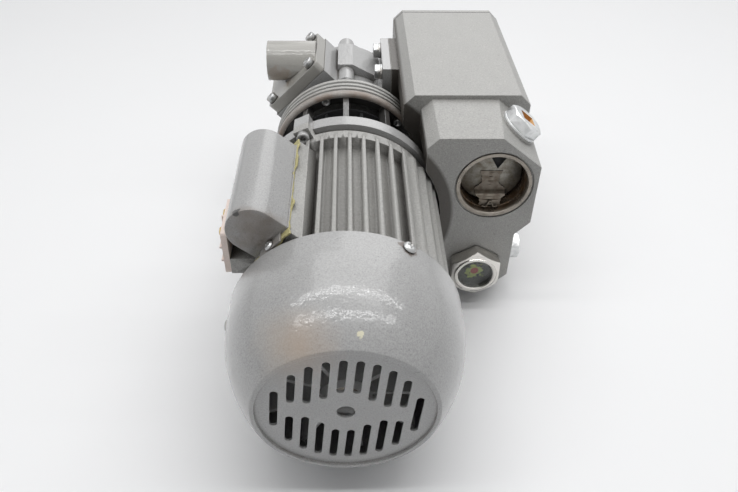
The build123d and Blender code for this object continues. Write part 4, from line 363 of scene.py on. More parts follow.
def cast_enamel(name="cast_enamel", stained=False, soft=0.0, scoop_shade=0.0, dust_and_shade=0.6):
    """Matt grey enamel on sand-cast iron, with oily dirt and painted shade in corners and painted
    shade far inside gaps; given a reach, also painted shade with oily dirt within it of the shaft's
    line.
    """
    paint, shade_and_grime = colours().paint, colours().shade_and_grime
    if stained:
        paint = shade(paint, 1.2)
    s = Shader(name, paint, roughness=0.42, coat=0.2)
    grain = s.noise(1.1 * MM, 3)
    blotch = s.noise(17 * MM, 3)
    tone = s.blend(s.ramp(grain, 0.34, 0.66), shade(paint, 0.80), shade(paint, 1.16))
    tone = s.blend(s.ramp(blotch, 0.35, 0.75, 0.0, 0.35), tone, shade(paint, 0.84))
    tone = s.blend(s.ramp(s.noise(1.5 * MM, 2), 0.62, 0.70, 0.0, 0.45), tone, shade(paint, 1.5))
    tone = s.blend(s.ramp(s.noise(2.1 * MM, 2), 0.36, 0.28, 0.0, 0.5), tone, shade(paint, 0.55))
    if stained:
        across = s.node("ShaderNodeSeparateXYZ")
        s.link(s.place, across.inputs["Vector"])
        front = s.ramp(across.outputs["Y"], -8 * MM, -17 * MM)
        patchy = s.ramp(s.noise(14 * MM, 3), 0.3, 0.6, 0.25, 0.85)
        tone = s.blend(s.maths("MULTIPLY", front, patchy), tone, colours().stain)
    # Painted shade with oily dirt on the separator's face near the motor, which shades it
    if scoop_shade:
        away = s.node("ShaderNodeVectorMath", operation="LENGTH")
        s.link(s.mapping(centre=SHAFT, scale=(1, 0, 1)), away.inputs[0])
        near = s.ramp(away.outputs["Value"], scoop_shade - 1.5 * MM, scoop_shade + 1.5 * MM, 0.9, 0.0)
        tone = s.blend(near, tone, shade(shade_and_grime, 0.6))
    # Paler ragged edges: rubbed paint and a painted highlight
    wear_and_highlight = s.maths("MULTIPLY", s.edges(1.1 * MM), s.ramp(s.noise(3 * MM, 4), 0.35, 0.6, 0.1, 0.9))
    tone = s.blend(wear_and_highlight, tone, shade(paint, 1.45))
    # Oily dirt and painted shade in corners, found by ambient occlusion
    corner_dust_and_shade = s.maths("MULTIPLY", s.corners(5 * MM), s.ramp(blotch, 0.3, 0.7, dust_and_shade / 3, dust_and_shade))
    tone = s.blend(corner_dust_and_shade, tone, shade_and_grime)
    # Painted shade: near black far inside gaps
    s.colour(s.blend(s.depths(), tone, shade(shade_and_grime, 0.35)))
    s.gloss(s.ramp(grain, 0.3, 0.7, 0.34, 0.54))
    round_off = s.soft_edges(sizes().casting_edge + soft)
    coarse = s.bump(s.noise(2.4 * MM, 3, rough=0.6), 0.42 * MM, 0.9, round_off)
    s.bump(grain, 0.17 * MM, 0.9, coarse)
    return s.material


def hammered_enamel(name="hammered_enamel", marks=(), deep_shade=True, tint=1.0):
    """Glossier grey enamel with an orange-peel skin, fleck and marks, and painted shade in corners
    and, when asked, far inside gaps.

    A mark is a centre, radius, colour and weight, and may add how ragged and how soft it is.
    """
    paint, shade_and_grime = shade(colours().hammered, tint), colours().shade_and_grime
    s = Shader(name, paint, roughness=0.40, coat=0.85)
    s.base.inputs["Coat Roughness"].default_value = 0.12
    fleck = s.noise(1.0 * MM, 2)
    tone = s.blend(s.ramp(fleck, 0.34, 0.66), shade(paint, 0.85), shade(paint, 1.12))
    specks = s.ramp(s.noise(1.7 * MM, 2), 0.64, 0.72, 0.0, 0.5)
    tone = s.blend(specks, tone, shade(paint, 0.45))
    tone = s.blend(s.ramp(s.noise(26 * MM, 3), 0.4, 0.75, 0.0, 0.3), tone, shade(paint, 0.86))
    for centre, radius, colour, *strength in marks:
        tone = s.blend(s.spot(centre, radius, *strength), tone, colour)
    # Paler ragged edges: rubbed paint and a painted highlight
    wear_and_highlight = s.maths("MULTIPLY", s.edges(0.8 * MM), s.ramp(s.noise(4 * MM, 4), 0.38, 0.6, 0.1, 0.8))
    tone = s.blend(wear_and_highlight, tone, shade(paint, 1.45))
    # Oily dirt and painted shade in corners and gaps, such as the dark line round the cowl's face
    gaps = s.corners(2.6 * MM, 0.4, 0.85)
    corner_dust_and_shade = s.maths("MULTIPLY", gaps, s.ramp(s.noise(9 * MM, 3), 0.3, 0.7, 0.4, 0.95))
    tone = s.blend(corner_dust_and_shade, tone, shade_and_grime)
    # Painted shade far inside gaps, when asked for
    s.colour(s.blend(s.depths(), tone, shade(shade_and_grime, 0.35)) if deep_shade else tone)
    s.gloss(s.ramp(fleck, 0.3, 0.7, 0.30, 0.46))
    peel = s.bump(s.noise(3.0 * MM, 1), 0.18 * MM, 0.9, s.soft_edges(sizes().sheet_edge * 2))
    made = s.bump(s.noise(1.3 * MM, 2), 0.05 * MM, 0.7, peel)
    s.link(made, s.base.inputs["Coat Normal"])
    return s.material


def plated(name, colour, roughness, tint=None, scratch=0.4 * MM):
    """Plated or bare metal with fine scratches, stains, a tint in patches and painted shade in
    corners.
    """
    s = Shader(name, colour, metallic=1.0, roughness=roughness)
    lines = s.noise(scratch, 2, s.mapping(scale=(1, 6, 1)))
    stain = s.noise(5 * MM, 4)
    tone = s.blend(s.ramp(lines, 0.3, 0.7), shade(colour, 0.86), shade(colour, 1.08))
    if tint:
        tone = s.blend(s.ramp(stain, 0.45, 0.75, 0.0, 0.7), tone, tint)
    # Painted shade: the metal darkened in corners and gaps, found by ambient occlusion
    tone = s.blend(s.maths("MULTIPLY", s.corners(2.5 * MM), 0.75), tone, shade(colour, 0.18))
    s.colour(tone)
    s.gloss(s.ramp(stain, 0.3, 0.7, roughness * 0.8, roughness * 1.35))
    s.bump(lines, 0.02 * MM, 0.5, s.soft_edges(sizes().sheet_edge))
    return s.material


def moulded(name, colour, roughness, grain=0.7 * MM, height=0.04 * MM, spread=0.1):
    """Plastic, rubber or fibre with a fine skin, dirt in corners, and uneven gloss; on light
    mouldings the corner dirt is also a painted shade.
    """
    s = Shader(name, colour, roughness=roughness)
    skin = s.noise(grain, 3)
    cloud = s.noise(11 * MM, 3)
    tone = s.blend(s.ramp(skin, 0.3, 0.7), shade(colour, 1 - spread), shade(colour, 1 + spread))
    # Dirt colour in corners, found by ambient occlusion: paler on black mouldings, a painted shade
    # on light ones
    dust_and_shade = s.maths("MULTIPLY", s.ramp(cloud, 0.45, 0.8, 0.0, 0.16), s.corners(4 * MM))
    s.colour(s.blend(dust_and_shade, tone, (0.34, 0.31, 0.27)))
    s.gloss(s.ramp(cloud, 0.3, 0.7, roughness * 0.85, min(1.0, roughness * 1.15)))
    s.bump(skin, height, 0.6)
    return s.material


def window_glass(name="window_glass"):
    """Clear glass with a faint oil smear."""
    s = Shader(name, (0.93, 0.96, 0.93), roughness=0.03)
    s.base.inputs["Transmission Weight"].default_value = 1.0
    s.base.inputs["IOR"].default_value = 1.47
    s.gloss(s.ramp(s.noise(6 * MM, 3), 0.45, 0.75, 0.02, 0.10))
    s.bump(s.noise(9 * MM, 1), 0.02 * MM, 0.3)
    return s.material


def level_face(centre):
    """Dark oily disc with a red spot in the middle and an olive splash round it."""
    tints = colours()
    s = Shader("level_face", tints.oil, roughness=0.25)
    local = s.mapping(centre=centre, scale=(1, 0, 1))
    length = s.node("ShaderNodeVectorMath", operation="LENGTH")
    s.link(local, length.inputs[0])
    wander = s.noise(5 * MM, 2)
    away = s.maths("ADD", length.outputs["Value"], s.ramp(wander, 0.2, 0.8, -4.5 * MM, 4.5 * MM))
    splash = s.ramp(away, 6.2 * MM, 8.0 * MM, 1.0, 0.0)
    tone = s.blend(splash, tints.oil, (0.36, 0.40, 0.09))
    red = s.ramp(length.outputs["Value"], 3.2 * MM, 3.9 * MM, 1.0, 0.0)
    s.colour(s.blend(red, tone, tints.marker))
    s.bump(wander, 0.2 * MM, 0.4)
    return s.material


def oily_bore(name="oily_bore"):
    """Machined bore with brown oil varnish, and oily dirt with painted shade in its corners."""
    steel, shade_and_grime = colours().steel, colours().shade_and_grime
    s = Shader(name, steel, metallic=0.75, roughness=0.32)
    rings = s.noise(0.35 * MM, 2, s.mapping(scale=(0.05, 1, 0.05)))
    stain = s.noise(8 * MM, 4)
    tone = s.blend(s.ramp(rings, 0.3, 0.7), shade(steel, 0.55), shade(steel, 0.85))
    across = s.node("ShaderNodeSeparateXYZ")
    s.link(s.place, across.inputs["Vector"])
    inward = s.ramp(across.outputs["Y"], -109.3 * MM, -105 * MM)
    browned = s.maths("MULTIPLY", inward, s.ramp(stain, 0.34, 0.6, 0.55, 0.95))
    tone = s.blend(browned, tone, (0.13, 0.072, 0.032))
    # Oily dirt and painted shade in the bore's corners
    s.colour(s.blend(s.maths("MULTIPLY", s.corners(5 * MM), 0.6), tone, shade_and_grime))
    s.gloss(s.ramp(stain, 0.3, 0.7, 0.22, 0.42))
    s.bump(rings, 0.03 * MM, 0.5)
    return s.material


FINISH = {}


def finishes():
    """Every finish by name, made once."""
    if not FINISH:
        tints = colours()
        FINISH.update(
            cast_enamel=cast_enamel(),
            separator_enamel=cast_enamel("separator_enamel", scoop_shade=SCOOP_SHADE_REACH),
            hammered_enamel=hammered_enamel(),
            stained_enamel=cast_enamel("stained_enamel", True, 1.4 * MM, dust_and_shade=0.15),
            frame_enamel=cast_enamel("frame_enamel", dust_and_shade=0.25),
            intake_enamel=hammered_enamel("intake_enamel", (
                # warmer paint all over, a brown stain under the stub
                ((-75 * MM, 60 * MM, 150 * MM), 110 * MM, (0.325, 0.312, 0.28), 0.8),
                ((-98 * MM, 41 * MM, 148 * MM), 11 * MM, (0.25, 0.19, 0.14), 0.55),
            )),
            spring_steel=plated("spring_steel", (0.22, 0.195, 0.165), 0.5, (0.12, 0.09, 0.06)),
            cowl_enamel=hammered_enamel("cowl_enamel", (
                # brown haze, its darker middle, a pale chip, rust by a screw
                ((-67 * MM, -303 * MM, 153 * MM), 30 * MM, (0.46, 0.38, 0.30), 0.4, 0.3, 0.0),
                ((-60 * MM, -305 * MM, 154 * MM), 24 * MM, (0.40, 0.28, 0.19), 0.42, 0.2, 0.0),
                ((-26 * MM, -302 * MM, 161 * MM), 2.6 * MM, (0.72, 0.68, 0.50), 0.9),
                ((6 * MM, -234 * MM, 167 * MM), 8 * MM, (0.10, 0.065, 0.045), 0.75),
            ), False),
            cover_enamel=hammered_enamel("cover_enamel", (
                # oil stain and painted shade on the end wall, which faces away from the lamps; a
                # black chip on its rim
                ((-95 * MM, -236 * MM, 175 * MM), 27 * MM, (0.15, 0.115, 0.085), 0.8, 0.3, 0.5),
                ((-105 * MM, -219 * MM, 186 * MM), 3.2 * MM, (0.02, 0.018, 0.016), 0.95),
            ), tint=0.86),
            cage_enamel=hammered_enamel("cage_enamel", (
                # painted shade inside the cage: a near-black patch where little light reaches
                ((-35 * MM, -12 * MM, 140 * MM), 64 * MM, (0.03, 0.028, 0.026), 0.93, 0.08),
            )),
            dark_gasket=moulded("dark_gasket", (0.22, 0.215, 0.20), 0.7),
            zinc_plate=plated("zinc_plate", tints.zinc, 0.36, shade(tints.zinc, 0.72)),
            screw_steel=plated("screw_steel", shade(tints.zinc, 0.62), 0.36, tints.steel),
            nickel_plate=plated("nickel_plate", tints.nickel, 0.16, shade(tints.nickel, 0.9)),
            oiled_steel=plated("oiled_steel", tints.steel, 0.34, shade(tints.steel, 0.5)),
            oily_bore=oily_bore(),
            cap_steel=plated("cap_steel", (0.30, 0.29, 0.26), 0.5, (0.17, 0.135, 0.09), 1.3 * MM),
            aluminium=plated("aluminium", (0.42, 0.42, 0.42), 0.5, (0.25, 0.23, 0.21)),
            brass=plated("brass", tints.brass, 0.3, shade(tints.brass, 0.6)),
            core_steel=plated("core_steel", (0.16, 0.16, 0.17), 0.5),
            copper_wire=plated(
                "copper_wire", tints.copper, 0.4, shade(tints.copper, 0.5), 0.3 * MM,
            ),
            recess_brown=moulded("recess_brown", tints.recess, 0.5, 1.4 * MM, spread=0.2),
            black_plastic=moulded("black_plastic", tints.black, 0.45),
            black_rubber=moulded("black_rubber", tints.black, 0.7, 0.5 * MM),
            fan_plastic=moulded("fan_plastic", tints.fan, 0.5),
            buff_plastic=moulded("buff_plastic", tints.buff, 0.42, 0.9 * MM, spread=0.05),
            gasket_fibre=moulded("gasket_fibre", tints.gasket, 0.55, 1.2 * MM, 0.1 * MM, 0.22),
            filter_fibre=moulded("filter_fibre", (0.55, 0.53, 0.47), 0.9, 0.6 * MM, 0.15 * MM),
            carbon=moulded("carbon", (0.03, 0.03, 0.032), 0.4),
            window_glass=window_glass(),
            level_face=level_face(middle("level_reflector")),
        )
    return FINISH


SLOT_FINISH = {
    "grey_paint": "cast_enamel",
    "zinc_plate": "screw_steel",
    "bare_steel": "oiled_steel",
    "nickel_plate": "nickel_plate",
    "aluminium": "aluminium",
    "core_steel": "core_steel",
    "copper_wire": "copper_wire",
    "black_plastic": "black_plastic",
    "buff_plastic": "buff_plastic",
    "brass": "brass",
    "black_rubber": "black_rubber",
    "foot_rubber": "black_rubber",
    "gasket_fibre": "gasket_fibre",
    "filter_fibre": "filter_fibre",
    "carbon_vane": "carbon",
    "clear_glass": "window_glass",
    "red_reflector": "level_face",
}
NODE_FINISH = {
    "fan_cowl": "cowl_enamel",
    "motor_frame": "frame_enamel",
    "capacitor_cover": "cover_enamel",
    "motor_flange": "cage_enamel",
    "pump_front_cover": "cage_enamel",
    "motor_fan": "fan_plastic",
    "fan_shroud": "stained_enamel",
    "oil_separator": "separator_enamel",
    "intake_elbow": "intake_enamel",
    "pump_cylinder": "hammered_enamel",
    "pump_rear_cover": "hammered_enamel",
    "intake_gasket": "dark_gasket",
    "side_gasket": "dark_gasket",
    "lid_gasket": "black_rubber",
    "exhaust_port_ring": "oily_bore",
    "filler_washer": "zinc_plate",
    "drain_washer": "zinc_plate",
    "side_washers": "screw_steel",
}


def finish_of(node):
    """Name of the finish of a node, its own or that of its slot."""
    return NODE_FINISH.get(node, SLOT_FINISH[slot_of(node)])


# ---------------------------------------------------------------- modelling helpers
def body_of(node):
    """Name of the CAD body that a node rides on."""
    return frame["nodes"][node]["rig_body"]


def slot_of(node):
    """The record's material slot of a node."""
    return next(p["material_slot"] for p in frame["record"]["subparts"] if p["node"] == node)


def set_piece(bm, name, finish, node, edge=0.0, sharp=32, materials=(), extra=False):
    """Object of a bmesh that rides with a CAD node, and stands for it unless it is extra."""
    mesh = bpy.data.meshes.new(name)
    bm.to_mesh(mesh)
    bm.free()
    piece = bpy.data.objects.new(name, mesh)
    bpy.context.scene.collection.objects.link(piece)
    mesh.materials.append(finishes()[finish])
    for other in materials:
        mesh.materials.append(finishes()[other])
    mesh.shade_smooth()
    mesh.set_sharp_from_angle(angle=math.radians(sharp))
    if edge:
        rounding = piece.modifiers.new("Rounding", "BEVEL")
        rounding.width = edge
        rounding.segments = 2
        rounding.limit_method = "ANGLE"
        rounding.angle_limit = math.radians(38)
        rounding.harden_normals = True
        weld = piece.modifiers.new("Weld", "WELD")
        weld.merge_threshold = BEVEL_MERGE
    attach(piece, body_of(node))
    if not extra:
        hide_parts(node)
    return piece


def merged_copy(node):
    """Bmesh of a CAD node with its doubles merged and its flat faces made whole."""
    bm = bmesh.new()
    bm.from_mesh(frame["nodes"][node].data)
    bmesh.ops.remove_doubles(bm, verts=bm.verts, dist=CAD_MERGE)
    bmesh.ops.dissolve_limit(
        bm, angle_limit=math.radians(0.4), verts=bm.verts, edges=bm.edges,
        use_dissolve_boundaries=False,
    )
    return bm


def rounded(node, name, finish, edge):
    """A CAD node's shape with its sharp edges rounded."""
    return set_piece(merged_copy(node), name, finish, node, edge)


def solid_of(bm, name):
    """Loose object of a bmesh, for a boolean."""
    mesh = bpy.data.meshes.new(name)
    bm.to_mesh(mesh)
    bm.free()
    made = bpy.data.objects.new(name, mesh)
    bpy.context.scene.collection.objects.link(made)
    return made


def combined(base, cutter, operation):
    """Bmesh of two closed bmeshes put through a boolean, without the slivers that it leaves."""
    first, second = solid_of(base, "base"), solid_of(cutter, "cutter")
    step = first.modifiers.new("Combine", "BOOLEAN")
    step.operation = operation
    step.object = second
    step.solver = "EXACT"
    graph = bpy.context.evaluated_depsgraph_get()
    bm = bmesh.new()
    bm.from_mesh(first.evaluated_get(graph).data)
    for used in (first, second):
        bpy.data.objects.remove(used)
    bmesh.ops.remove_doubles(bm, verts=bm.verts, dist=CUT_MERGE)
    bmesh.ops.dissolve_degenerate(bm, edges=bm.edges, dist=CUT_MERGE)
    bmesh.ops.triangulate(bm, faces=[f for f in bm.faces if len(f.verts) > 4])
    bmesh.ops.dissolve_degenerate(bm, edges=bm.edges, dist=CUT_MERGE)
    return bm


def turned(outline, place, direction):
    """Bmesh of an outline of radii and heights, closed on its axis and spun round a direction."""
    bm = bmesh.new()
    verts = [bm.verts.new((radius, 0, height)) for radius, height in outline]
    edges = [bm.edges.new(pair) for pair in zip(verts, verts[1:])]
    bmesh.ops.spin(
        bm, geom=verts + edges, cent=(0, 0, 0), axis=(0, 0, 1), angle=math.tau,
        steps=sizes().round_steps, use_merge=True,
    )
    bmesh.ops.remove_doubles(bm, verts=bm.verts, dist=SPIN_MERGE)
    bmesh.ops.recalc_face_normals(bm, faces=bm.faces)
    upright = Vector(direction).to_track_quat("Z", "Y").to_matrix().to_4x4()
    bmesh.ops.transform(bm, matrix=Matrix.Translation(place) @ upright, verts=bm.verts)
    return bm


def joined(*parts):
    """One bmesh out of several."""
    whole = bmesh.new()
    for part in parts:
        mesh = bpy.data.meshes.new("part")
        part.to_mesh(mesh)
        part.free()
        whole.from_mesh(mesh)
        bpy.data.meshes.remove(mesh)
    return whole


def islands(bm):
    """Points of each loose solid in a bmesh."""
    left = set(bm.verts)
    groups = []
    while left:
        ahead = [left.pop()]
        points = []
        while ahead:
            vert = ahead.pop()
            points.append(vert.co.copy())
            for edge in vert.link_edges:
                other = edge.other_vert(vert)
                if other in left:
                    left.remove(other)
                    ahead.append(other)
        groups.append(points)
    return groups


def head_of(points, direction):
    """Centre of a solid's outermost face along a direction."""
    axis = Vector(direction).normalized()
    side = axis.orthogonal().normalized()
    across = axis.cross(side)
    place = axis * max(p.dot(axis) for p in points)
    for line in (side, across):
        reach = [p.dot(line) for p in points]
        place += line * (min(reach) + max(reach)) / 2
    return place


def away_from_shaft(points):
    """Direction from the shaft to a solid, across the shaft."""
    line = sum(points, Vector()) / len(points) - SHAFT
    return Vector((line.x, 0, line.z)).normalized()


def trimmed(node, name, finish, outline, direction, sharp=32, materials=()):
    """A CAD node whose solids are each cut down to a turned outline about a direction."""
    bm = merged_copy(node)
    cutters = []
    for points in islands(bm):
        axis = direction(points) if callable(direction) else direction
        cutters.append(turned(outline, head_of(points, axis), axis))
    cut = combined(bm, joined(*cutters), "INTERSECT")
    return set_piece(cut, name, finish, node, sharp=sharp, materials=materials)


def hex_outline(flats, length=40 * MM):
    """Outline that takes the corners off a hexagon head."""
    corner = flats / math.sqrt(3) + MM
    face = flats * 0.475
    return ((0, -length), (corner, -length), (corner, (face - corner) * 0.577), (face, 0), (0, 0))


def pan_outline(radius, height, length=40 * MM):
    """Outline of a domed screw head."""
    wide = radius + 0.5 * MM
    return (
        (0, -length), (wide, -length), (wide, -height * 0.9), (radius * 0.97, -height * 0.62),
        (radius * 0.88, -height * 0.34), (radius * 0.70, -height * 0.14),
        (radius * 0.4, -height * 0.03), (0, 0),
    )


def cap_outline(radius, length=60 * MM):
    """Outline of a socket head with a rounded rim."""
    wide = radius + 0.5 * MM
    return (
        (0, -length), (wide, -length), (wide, -1.6 * MM), (radius, -1.1 * MM),
        (radius * 0.97, -0.5 * MM), (radius * 0.9, -0.12 * MM), (radius * 0.8, 0), (0, 0),
    )


# ---------------------------------------------------------------- operators
class PUMP_OT_finishes(bpy.types.Operator):
    """Gives every node of the frame its finish"""

    bl_idname = "pump.finishes"
    bl_label = "Finishes"

    def execute(self, context):
        for name, node in frame["nodes"].items():
            finish = finishes()[finish_of(name)]
            for place in node.material_slots:
                place.material = finish
        return {"FINISHED"}


class PUMP_OT_castings(bpy.types.Operator):
    """Rounds the edges of the castings and mouldings that stand in the open"""

    bl_idname = "pump.castings"
    bl_label = "Castings"

    def execute(self, context):
        for node, name, edge in (
            ("oil_separator", "separator_casting", 0.9),
            ("separator_lid", "separator_rear_lid", 0.7),
            ("intake_elbow", "intake_casting", 0.8),
            ("capacitor_cover", "pressed_cover", 0.4),
            ("terminal_block", "terminal_moulding", 0.4),
            ("exhaust_port_ring", "turned_port_ring", 0.3),
        ):
            rounded(node, name, finish_of(node), edge * MM)
        return {"FINISHED"}


class PUMP_OT_fins(bpy.types.Operator):
    """Gives the motor's fins the draft of a casting, thin at the tip"""

    bl_idname = "pump.fins"
    bl_label = "Fins"

    def execute(self, context):
        bm = merged_copy("motor_frame")
        cuts = set()
        for tip in self.tips(bm):
            ends = [vert.co.y for vert in tip[0]]
            cuts.update((round(min(ends) + FIN_ROOT, 5), round(max(ends) - FIN_ROOT, 5)))
        for cut in cuts:
            bmesh.ops.bisect_plane(
                bm, geom=bm.verts[:] + bm.edges[:] + bm.faces[:], plane_co=(0, cut, 0),
                plane_no=(0, 1, 0),
            )
        for verts, across, centre in self.tips(bm):
            for vert in verts:
                vert.co -= across * (vert.co.dot(across) - centre) * sizes().fin_draft
        set_piece(bm, "finned_frame", "frame_enamel", "motor_frame")
        return {"FINISHED"}

    def tips(self, bm):
        """Corners, width direction and middle line of each long narrow face that looks outward."""
        found = []
        for face in bm.faces:
            length = [v.co.y for v in face.verts]
            across = face.normal.cross(Vector((0, 1, 0)))
            reach = [v.co.dot(across) for v in face.verts]
            outward = (face.calc_center_median() - SHAFT).dot(face.normal)
            narrow = FIN_WIDTH[0] < max(reach) - min(reach) < FIN_WIDTH[1]
            if max(length) - min(length) > FIN_LENGTH and narrow and outward > FIN_REACH:
                found.append((set(face.verts), across, (max(reach) + min(reach)) / 2))
        return found


class PUMP_OT_capacitor_cover(bpy.types.Operator):
    """Models the gasket that squeezes out under the capacitor's cover, and the cover's lip"""

    bl_idname = "pump.capacitor_cover"
    bl_label = "Capacitor Cover"

    def execute(self, context):
        low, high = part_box("cover_gasket")
        across = Vector((COVER_UP.z, 0, -COVER_UP.x))
        centre = middle("cover_gasket")
        bm = bmesh.new()
        bmesh.ops.create_grid(bm, x_segments=34, y_segments=112, size=1)
        half_x, half_y = 17.6 * MM, (high.y - low.y) / 2
        wander = sizes().gasket_crinkle
        for vert in bm.verts:
            x, y = vert.co.x, vert.co.y
            rim = max(abs(x), abs(y)) > 0.999
            vert.co.x, vert.co.y = x * half_x, y * half_y
            wave = noise.noise(Vector((vert.co.x, vert.co.y, 0)) * 95)
            curl = noise.noise(Vector((vert.co.y, vert.co.x, 3)) * 210)
            if rim:
                vert.co.x += math.copysign(wander * (1.3 + 2.6 * wave), x) * (abs(x) > 0.999)
                vert.co.y += math.copysign(wander * (0.5 + 1.6 * wave), y) * (abs(y) > 0.999)
                vert.co.z += 1.1 * MM * curl
        top = bmesh.ops.extrude_face_region(bm, geom=bm.faces[:])
        raised = [v for v in top["geom"] if isinstance(v, bmesh.types.BMVert)]
        bmesh.ops.translate(bm, verts=raised, vec=(0, 0, 1.5 * MM))
        bmesh.ops.translate(bm, verts=bm.verts, vec=(0, 0, -0.75 * MM))
        bmesh.ops.recalc_face_normals(bm, faces=bm.faces)
        turn = Matrix((across, Vector((0, -1, 0)), COVER_UP)).transposed().to_4x4()
        bmesh.ops.transform(bm, matrix=Matrix.Translation(centre) @ turn, verts=bm.verts)
        bmesh.ops.recalc_face_normals(bm, faces=bm.faces)
        self.lip(turn, centre, half_y)
        piece = set_piece(bm, "squeezed_gasket", "gasket_fibre", "cover_gasket", 0.45 * MM, 50)
        piece.modifiers["Rounding"].segments = 3
        return {"FINISHED"}

    def lip(self, turn, centre, half_y):
        """Turned-out lip at the foot of the cover."""
        bm = bmesh.new()
        bmesh.ops.create_grid(bm, x_segments=30, y_segments=90, size=1)
        for vert in bm.verts:
            bend = noise.noise(vert.co * 5) * 0.35 * MM
            vert.co = Vector((vert.co.x * 18.3 * MM, vert.co.y * (half_y - 5.4 * MM), bend))
        bmesh.ops.solidify(bm, geom=bm.faces[:], thickness=0.9 * MM)
        place = Matrix.Translation(centre + COVER_UP * 1.3 * MM)
        bmesh.ops.transform(bm, matrix=place @ turn, verts=bm.verts)
        bmesh.ops.recalc_face_normals(bm, faces=bm.faces)
        set_piece(bm, "cover_lip", "cover_enamel", "capacitor_cover", 0.3 * MM, extra=True)


class PUMP_OT_screws(bpy.types.Operator):
    """Models the heads of the pan screws and socket screws"""

    bl_idname = "pump.screws"
    bl_label = "Screws"

    def execute(self, context):
        large_pan = pan_outline(4.7 * MM, 3.2 * MM)
        small_pan = pan_outline(3.6 * MM, 2.4 * MM)
        cap = cap_outline(5 * MM)
        long_cap = cap_outline(5 * MM, 130 * MM)
        front, rear, left = (0, -1, 0), (0, 1, 0), (-1, 0, 0)
        for node, name, finish, outline, direction in (
            ("cowl_screws", "cowl_pan_screws", "screw_steel", large_pan, away_from_shaft),
            ("cover_screws", "cover_pan_screws", "screw_steel", small_pan, COVER_UP),
            ("terminal_screws", "terminal_pan_screws", "brass", small_pan, left),
            ("intake_screws", "intake_socket_screws", "screw_steel", cap, INTAKE_UP),
            ("lug_screws", "lug_socket_screws", "hammered_enamel", cap, front),
            ("bell_screws", "bell_socket_screws", "screw_steel", cap_outline(3.8 * MM), front),
            ("pump_bolts", "pump_socket_bolts", "screw_steel", long_cap, rear),
            ("lid_screws", "lid_socket_screws", "screw_steel", cap_outline(4.25 * MM), rear),
        ):
            trimmed(node, name, finish, outline, direction)
        return {"FINISHED"}


class PUMP_OT_hex_bolts(bpy.types.Operator):
    """Models the hexagon bolts of the side joint and their washers"""

    bl_idname = "pump.hex_bolts"
    bl_label = "Hexagon Bolts"

    def execute(self, context):
        trimmed("side_bolts", "side_hex_bolts", "screw_steel",
                hex_outline(sizes().bolt_hex), (-1, 0, 0), 20)
        rounded("side_washers", "side_plain_washers", "screw_steel", 0.25 * MM)
        return {"FINISHED"}


class PUMP_OT_plugs(bpy.types.Operator):
    """Models the filler plug with its square recess and the drain plug"""

    bl_idname = "pump.plugs"
    bl_label = "Plugs"

    def execute(self, context):
        tilt = sizes().filler_tilt
        lean = Vector((math.sin(tilt), 0, math.cos(tilt)))
        half = sizes().filler_square / 2
        filler = trimmed("filler_plug", "filler_hex_plug", "zinc_plate",
                         hex_outline(sizes().filler_hex), lean, 20, ("recess_brown",))
        floor_depth = 6.3 * MM
        recess = half * 1.45 + 0.1 * MM
        top = max(v.co.dot(lean) for v in filler.data.vertices)
        mid = head_of([v.co for v in filler.data.vertices], lean)
        for face in filler.data.polygons:
            sunk = top - face.center.dot(lean)
            out = face.center - mid
            out -= lean * out.dot(lean)
            if 0.2 * MM < sunk < floor_depth and out.length < recess:
                face.material_index = 1
        trimmed("drain_plug", "drain_hex_plug", "zinc_plate",
                hex_outline(sizes().drain_hex), (1, 0, 0), 20)
        rounded("filler_washer", "filler_seal_washer", "zinc_plate", 0.3 * MM)
        rounded("drain_washer", "drain_seal_washer", "zinc_plate", 0.3 * MM)
        return {"FINISHED"}


class PUMP_OT_sight_glass(bpy.types.Operator):
    """Models the nut of the sight glass with its raised ring"""

    bl_idname = "pump.sight_glass"
    bl_label = "Sight Glass"

    def execute(self, context):
        bore = sizes().glass_bore
        bm = merged_copy("sight_glass_nut")
        place = head_of(islands(bm)[0], (0, -1, 0))
        outline = hex_outline(sizes().glass_hex)
        cut = combined(bm, turned(outline, place, (0, -1, 0)), "INTERSECT")
        lip = turned(
            (
                (bore - 0.15 * MM, -3 * MM), (bore + 3 * MM, -3 * MM), (bore + 3 * MM, 0.3 * MM),
                (bore + 2.6 * MM, 0.75 * MM), (bore + 0.7 * MM, 0.75 * MM),
                (bore - 0.15 * MM, 0.1 * MM), (bore - 0.15 * MM, -3 * MM),
            ),
            place, (0, -1, 0),
        )
        nut = combined(cut, lip, "UNION")
        set_piece(nut, "glass_hex_nut", "nickel_plate", "sight_glass_nut", sharp=20)
        return {"FINISHED"}


